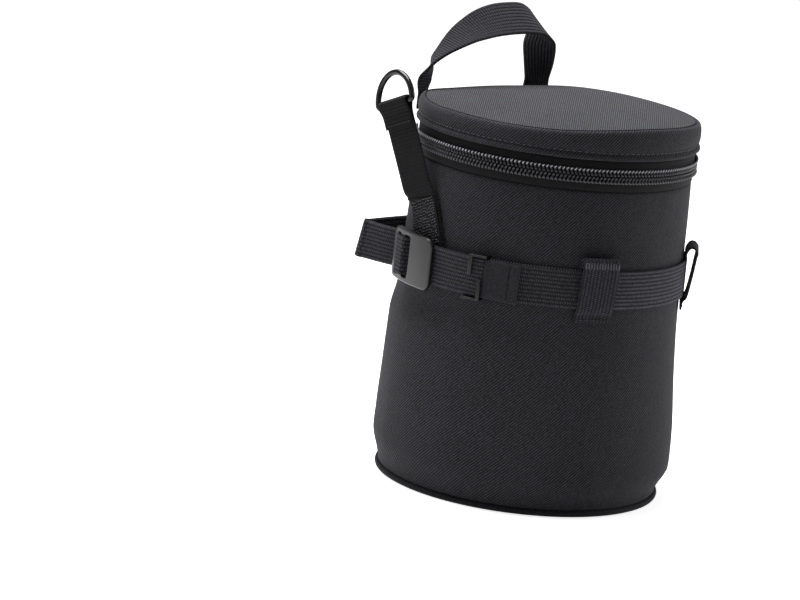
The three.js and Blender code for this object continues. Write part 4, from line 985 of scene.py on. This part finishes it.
tail = [tail_knot(t) for t in np.linspace(-100.4, TAIL_JOIN - 0.2, 14)]
webbing_piece("belt_tail_strip", tail, waffle, ["belt_tail"], spacing=0.8)
end = [tail_knot(t) for t in np.linspace(TAIL_JOIN, TAIL_END, 7)]
webbing_piece("belt_tail_end", end, tail_weave, spacing=0.6, bump_at=folded_hem)

# The hem's stitches are a close black row: real stitches, and painted shadow of the hem's fold
hem = []
hem_lift = belt_lift(HEM_TURN) + TAIL_LAYER + 0.8
for x in np.linspace(-8.8, 8.8, 12):
    hem.append((on_wall(HEM_TURN, BELT_LEVEL + x, hem_lift), outward(HEM_TURN)))
size = {"length": 1.9, "pitch": 1.8, "thickness": 0.5}
seam("tail_hem_stitches_and_painted_shadow", "pouch", "webbing", hem, material=hem_thread_and_painted_shadow, **size)

# %% [markdown]
# ## Keepers
#
# Each keeper is a short webbing that is sewn down below the belt, stands away from it, curls over at
# the top, and is sewn to the wall again above the belt. Seen from the side it is a drop shape, open at
# the top, where another strap could be threaded. Its cords open like a comb where it folds over.

# %% Keepers
KEEPER_TURNS = {"front": -21.4, "right": 45.0, "back": 180.0}
# Distance from the wall, and height, from the lower seam to the upper one
KEEPER_LINE = [(0.95, 103.6), (0.95, 105.9), (1.5, 108.3), (3.1, 110.3), (4.2, 116), (5.2, 122.5)]
KEEPER_LINE += [(6, 129), (6.5, 133.7), (6, 136.1), (4.6, 137.1), (3, 136.9), (1.8, 135.5), (1.1, 133.9)]
KEEPER_LINE += [(0.95, 132.3), (0.95, 131.4)]
KEEPER_SIZE, CORD_PITCH = (20.0, 1.3), 1.5
TACK_LEVEL, TACK_SEAT = 105.2, body_radius(105) + 1.75
COMB_LEVEL, COMB_LIFT = 134.4, 7.0
for where, turn in KEEPER_TURNS.items():
    o, a = outward(turn), around(turn)
    knots = [knot(on_wall(turn, z, lift), -a) for lift, z in KEEPER_LINE]
    tack = [(o * TACK_SEAT + UP * TACK_LEVEL + a * x, o) for x in np.linspace(-9, 9, 12)]
    seam(f"keeper_{where}_bar_tack", "pouch", "webbing", tack, length=1.2, pitch=1.5, thickness=0.5)
    node = f"belt_keeper_{where}"
    webbing_piece(f"keeper_{where}", knots, keeper_weave, [node], size=KEEPER_SIZE, spacing=0.7)
    cord_up = (UP - o * 0.1).normalized()
    top = on_wall(turn, COMB_LEVEL, COMB_LIFT)
    cords = [(top + a * x, cord_up, cord_up.cross(a), a) for x in np.arange(-9, 9.1, CORD_PITCH)]
    bm = scatter(bead(3.6, 0.95), cords)
    finish_piece(f"keeper_{where}_fold_cords", bm, "pouch", top_thread)


# %% [markdown]
# ## Lock, clip, slider and pull
#
# These are moulded or cast, and the CAD model has their shape. A copy of each mesh is merged, its flat
# faces are joined, and its edges get the small radius that every mould leaves. The lock and the clip
# follow the round wall, so they are first laid out flat, where their faces are truly flat, and are
# rolled up again at the end.


# %% Hard parts
# The radius and the step for rolling up, and the angles that tell a flat face and a moulded edge
ROLL, ROLL_STEP = 80 * MM, 1.5 * MM
SAME_PLANE, MOULD_EDGE = math.radians(0.5), math.radians(35)


def unroll(bm):
    """Lay a piece that follows the wall out flat: along the wall, up, and outwards."""
    for v in bm.verts:
        v.co = Vector((math.atan2(v.co.x, -v.co.y) * ROLL, v.co.z, math.hypot(v.co.x, v.co.y)))


def roll_up(bm):
    """Cut a flat piece across at small steps, and lay it round the wall again."""
    for cut in np.arange(min(v.co.x for v in bm.verts), max(v.co.x for v in bm.verts), ROLL_STEP)[1:]:
        parts = bm.verts[:] + bm.edges[:] + bm.faces[:]
        bmesh.ops.bisect_plane(bm, geom=parts, dist=MM / 1000, plane_co=(cut, 0, 0), plane_no=(1, 0, 0))
    for v in bm.verts:
        v.co = outward(math.degrees(v.co.x / ROLL)) * v.co.z + UP * v.co.y


def hard_part(name, node, body, material, radius, curved=False):
    """A CAD piece with clean faces and edges of a small radius, in millimetres."""
    bm = bmesh.new()
    bm.from_mesh(frame["nodes"][node].data)
    bmesh.ops.remove_doubles(bm, verts=bm.verts, dist=MM / 200)
    if curved:
        unroll(bm)
    bmesh.ops.recalc_face_normals(bm, faces=bm.faces)
    bmesh.ops.dissolve_limit(bm, angle_limit=SAME_PLANE, verts=bm.verts, edges=bm.edges)
    # Only the outer edges: a mould leaves the inner corners of such thin bars sharp
    edges = [e for e in bm.edges if e.is_manifold and e.calc_face_angle_signed(0) > MOULD_EDGE]
    how = {"segments": 3, "profile": 0.5, "affect": "EDGES", "material": -1, "clamp_overlap": True}
    bmesh.ops.bevel(bm, geom=edges, offset=radius * MM, **how)
    if curved:
        roll_up(bm)
    bmesh.ops.remove_doubles(bm, verts=bm.verts, dist=MM / 500)
    bmesh.ops.recalc_face_normals(bm, faces=bm.faces)
    return finish_piece(name, bm, body, material, [node], sharp=40)


hard_part("lock_plate", "ladder_lock", "lock", lock_acetal, 0.7, curved=True)
hard_part("tail_clip", "web_clip", "clip", clip_nylon, 0.35, curved=True)
hard_part("slider_body", "zip_slider", "slider", ring_enamel, 0.22)
hard_part("pull_tab", "zip_pull", "pull", ring_enamel, 0.25)
hard_part("left_stop", "zip_stop_left", "pouch", ring_enamel, 0.3)
hard_part("right_stop", "zip_stop_right", "pouch", ring_enamel, 0.3)

# %% [markdown]
# ## Webbing over the bar of the lock
#
# A ladder lock grips by friction: the belt comes up through one slot, goes over the bar and down
# through the other. This short strip is what shows of it between the slots, and it tips with the lock.

# %% Webbing over the bar of the lock
LOCK_TURN, LOCK_UNDER, LOCK_THICK = -101.0, 79.9, 2.3
# The bar's two edges along the belt, the webbing's gap to it, and how it cuts the bar's corners
BAR, BAR_GAP, CORNER_SHARE = (-9.7, -4.7), 0.3, 0.78
half_belt = BELT_THICK / 2
low = LOCK_SEAT + half_belt - LOCK_UNDER
high = LOCK_THICK + BAR_GAP + half_belt
over = half_belt + BAR_GAP
corner = over * CORNER_SHARE
wrap = [(-14.4, low), (BAR[0] - over - 1.6, low + 0.9), (BAR[0] - over, LOCK_THICK / 2)]
wrap += [(BAR[0] - corner, LOCK_THICK + corner), (BAR[0] + over, high), (sum(BAR) / 2, high)]
wrap += [(BAR[1] - over, high), (BAR[1] + corner, LOCK_THICK + corner), (BAR[1] + over, LOCK_THICK / 2)]
wrap += [(BAR[1] + over + 1.4, low + 0.9), (0.2, low)]
knots = []
for x, lift in wrap:
    o = outward(LOCK_TURN + math.degrees(x / LOCK_UNDER))
    knots.append(knot(o * (LOCK_UNDER + lift) + UP * BELT_LEVEL, UP))
webbing_piece("lock_wrap", knots, waffle, ["lock_webbing"], body="lock", spacing=0.6)

# %% [markdown]
# ## Ring strap
#
# One strap does three things: its root is sewn on the wall under the belt, it folds away from the wall
# above a patch of hook fastener, and its top is folded over the ring's bar and stitched. It is one
# strip. Below the fold it lies on the wall, above it lies along the strap, and it bends between.

# %% Ring strap
# The middle of the fold, and the directions of the strap above it
FOLD = Vector((-77.11, 18.51, 157.0))
STRAP_UP = Vector((-0.1207, 0.395, 0.9107))
STRAP_OUT = Vector((-0.9895, -0.1215, -0.0785))
STRAP_ACROSS = Vector((-0.0797, 0.9106, -0.4055))
STRAP_WIDTH, STRAP_THICK, ROOT_LIFT = 20.0, 1.3, 0.9
# The root's turn and slant, the length over which it leaves the wall, and how much wider it lies
FOLD_TURN, SLANT, LIFT_OFF, SPREAD = -103.5, math.radians(24), 10.0, 3.6


def root_knot(drop, lift):
    """A knot on the sewn root, a length below the fold. The root leaves the wall as it nears the fold."""
    height = FOLD.z - drop * math.cos(SLANT)
    turn = FOLD_TURN + math.degrees(drop * math.sin(SLANT) / body_radius(height))
    flat = on_wall(turn, height, lift)
    across = -around(turn) * math.cos(SLANT) - UP * math.sin(SLANT)
    share = blend_in(1 - drop / LIFT_OFF, 0, 1)
    folded = FOLD - STRAP_UP * drop + STRAP_OUT * (lift - ROOT_LIFT)
    wide = blend_in(drop, 1, 10)
    place = flat.lerp(folded, share) + across * (SPREAD / 2) * wide
    return knot(place, across.lerp(STRAP_ACROSS, share), 1 + SPREAD / STRAP_WIDTH * wide)


strap = [root_knot(drop, ROOT_LIFT) for drop in (42.5, 36, 30, 24, 18, 13, 9, 6, 3)]
strap.append(knot(FOLD, STRAP_ACROSS))
# Lengths above the fold and distances from the strap's plane: up, round the ring's bar and down
TOP_FOLD = [(8, 0), (16, 0), (24, 0), (31, 0), (37, 0), (40.5, -0.55), (43.2, -1.55), (45.3, -1.2)]
TOP_FOLD += [(46.5, 0.2), (46.4, 2.0), (45.0, 3.3), (42.6, 3.0), (40.2, 2.0), (38, 1.6), (35, 1.55)]
TOP_FOLD += [(32.2, 1.55)]
for rise, lift in TOP_FOLD:
    strap.append(knot(FOLD + STRAP_UP * rise + STRAP_OUT * lift, STRAP_ACROSS))
stood_for = ["ring_strap_root", "ring_strap"]
size = (STRAP_WIDTH, STRAP_THICK)
piece = webbing_piece("ring_strap_strip", strap, strap_weave, stood_for, body=None, size=size, spacing=0.7)
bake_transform(piece)

# %% [markdown]
# ## Hook patch
#
# A patch of hook fastener is a dull tape with a field of tiny bent hooks. At this size each hook is a
# bead of 0.6 mm. They stand in staggered rows, each a little off its place, because hooks bend in use.
# Their grey is painted highlight, where light catches the tops of the black hooks.

# %% Patch
PATCH_FOOT, PATCH_WIDTH, PATCH_THICK, PATCH_LIFT = 131.0, 19.4, 0.8, 2.2
patch = [root_knot(drop, PATCH_LIFT) for drop in (34, 30, 25, 20, 16, 12, 8, 5.2)]
bm = webbing_strip(patch, PATCH_WIDTH, PATCH_THICK)
# The patch is cut level, just over the belt
parts = bm.verts[:] + bm.edges[:] + bm.faces[:]
bmesh.ops.bisect_plane(bm, geom=parts, plane_co=UP * PATCH_FOOT * MM, plane_no=(0, 0, -1), clear_outer=True)
bmesh.ops.holes_fill(bm, edges=[e for e in bm.edges if e.is_boundary], sides=0)
bmesh.ops.recalc_face_normals(bm, faces=bm.faces)
finish_piece("hook_patch_tape", bm, "pouch", hook_tape, ["hook_patch"])

# %% Hooks, and stitches on the strap
HOOK_PITCH, HOOK_JITTER, HOOK_LIFT = 1.45, 0.4, 2.75
rng = np.random.default_rng(4)
frames = []
for row, drop in enumerate(np.arange(6.6, 31, HOOK_PITCH)):
    x, y, z, *across, width = root_knot(drop, HOOK_LIFT)
    across = Vector(across).normalized()
    out = across.cross(UP).normalized()
    out = out if out.dot(Vector((x, y, 0))) > 0 else -out
    for side in np.arange(-9.8, 9.5, HOOK_PITCH):
        shift = side + (row % 2) * HOOK_PITCH / 2 + rng.uniform(-HOOK_JITTER, HOOK_JITTER)
        place = Vector((x, y, z)) + across * shift + UP * rng.uniform(-HOOK_JITTER, HOOK_JITTER)
        if place.z > PATCH_FOOT + 0.5:
            frames.append((place, across, out, UP))
finish_piece("hook_field", scatter(bead(0.6, 0.6), frames), "pouch", hook_nylon_painted_highlight)
print("hooks:", len(frames))

# The row that closes the fold over the ring's bar
SEAM_UP, SEAM_OUT = 33.6, 2.35
seam_middle = FOLD + STRAP_UP * SEAM_UP + STRAP_OUT * SEAM_OUT
loop_seam = [(seam_middle + STRAP_ACROSS * x, STRAP_OUT) for x in np.linspace(-8.6, 8.6, 12)]
seam("ring_strap_stitches", "strap", "webbing", loop_seam, length=1.5, pitch=2.1, thickness=0.4)

# %% [markdown]
# ## D-ring
#
# The ring is bent from one enamelled wire: a straight bar in the strap's fold, two tight corners and an
# arch. A curve object with a round bevel makes such a wire, and its mesh is taken over as the piece.

# %% D-ring
WIRE, BAR_HALF, CORNER, RING_HEIGHT, RING_TILT = 1.55, 10.6, 1.8, 16.8, math.radians(15)
RING_UP = STRAP_UP * math.cos(RING_TILT) - STRAP_OUT * math.sin(RING_TILT)
middle = FOLD + STRAP_UP * 44 + STRAP_OUT * 0.8
points = [(x, 0.0) for x in np.linspace(-BAR_HALF, BAR_HALF, 12)]
bends = [(CORNER * math.cos(a), CORNER + CORNER * math.sin(a)) for a in np.radians([-60, -30, 0])]
points += [(BAR_HALF + x, y) for x, y in bends]
for a in np.radians(np.linspace(0, 180, 42))[1:-1]:
    points.append(((BAR_HALF + CORNER) * math.cos(a), CORNER + (RING_HEIGHT - CORNER) * math.sin(a)))
points += [(-BAR_HALF - x, y) for x, y in reversed(bends)]
curve = bpy.data.curves.new("ring_line", "CURVE")
curve.dimensions = "3D"
curve.bevel_depth = WIRE * MM
curve.bevel_resolution = 5
spline = curve.splines.new("POLY")
spline.points.add(len(points) - 1)
spline.use_cyclic_u = True
for point, (x, y) in zip(spline.points, points):
    point.co = (*((middle - STRAP_ACROSS * x + RING_UP * y) * MM), 1)
holder = bpy.data.objects.new("ring_line", curve)
bm = bmesh.new()
bm.from_mesh(holder.to_mesh())
bpy.data.objects.remove(holder)
bmesh.ops.recalc_face_normals(bm, faces=bm.faces)
finish_piece("ring_wire", bm, "ring", ring_enamel, ["d_ring"])

# %% [markdown]
# ## Carry handle
#
# The handle is one ribbed webbing. Each end is sewn flat on the lid's band. The webbing then turns a
# quarter round as it rises, so that its flat side lies under the fingers at the top. Its arch isn't
# even, because use has bent it, so its line goes through places listed one by one and isn't one curve.

# %% Carry handle
HANDLE_TURN, HANDLE_WIDTH, HANDLE_THICK, END_WIDTH = 147.6, 21.0, 1.8, 14
# The ends lie on the band, at these heights
END_SEAT, END_HEIGHTS = 75.4, (188.8, 191.5, 194.5, 197.5)
# Place, direction across the webbing, and width, from the left foot to the right one
ARCH = [
    (-40.1, 63.6, 203.4, 0.93, 0.36, -0.08, END_WIDTH),
    (-38.5, 62.7, 208.5, 0.8, 0.59, -0.13, 15.5),
    (-36.6, 61.7, 214.6, 0.54, 0.83, -0.08, 18),
    (-32.3, 59.8, 220.0, 0.38, 0.92, -0.03, 20),
    (-26.3, 57.8, 225.6, 0.19, 0.98, 0.1, 21),
    (-19.1, 56.3, 230.5, 0.03, 0.96, 0.28, 21),
    (-10.3, 54.7, 234.7, -0.08, 0.86, 0.5, 21),
    (-0.3, 54.2, 237.0, -0.08, 0.77, 0.64, 21),
    (10.3, 54.4, 237.7, -0.03, 0.74, 0.67, 21),
    (19.8, 54.8, 237.3, 0.03, 0.74, 0.67, 21),
    (28.6, 56.1, 234.9, 0.06, 0.84, 0.54, 21),
    (34.3, 57.9, 230.7, 0.06, 0.92, 0.39, 21),
    (36.6, 59.2, 226.5, -0.07, 0.96, 0.25, 21),
    (37.0, 60.7, 220.6, -0.4, 0.9, 0.15, 19.5),
    (39.7, 62.8, 212.1, -0.63, 0.77, -0.01, 16.5),
    (40.6, 63.7, 203.4, -0.9, 0.43, -0.05, END_WIDTH),
]


def end_knots(turn, direction, heights):
    """Knots on one sewn end, at a turn, with the webbing's direction round the band."""
    out, across = outward(turn), around(turn) * direction
    return [knot(out * END_SEAT + UP * z, across, END_WIDTH / HANDLE_WIDTH) for z in heights]


handle = end_knots(-HANDLE_TURN, -1, END_HEIGHTS)
handle += [knot((x, y, z), across, width / HANDLE_WIDTH) for x, y, z, *across, width in ARCH]
handle += end_knots(HANDLE_TURN, 1, END_HEIGHTS[::-1])
stood_for = ["handle_end_left", "handle_end_right", "carry_handle"]
size = (HANDLE_WIDTH, HANDLE_THICK)
piece = webbing_piece("handle_strip", handle, handle_weave, stood_for, body=None, size=size, spacing=0.9)
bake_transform(piece)

# %% [markdown]
# ## Print the size
#
# The visual model may stand a little proud of the CAD box, as cloth does. Its box is printed.

# %% Finish
low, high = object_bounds()
print("visual box in mm:", [round(v / MM, 1) for v in (*low, *high)])
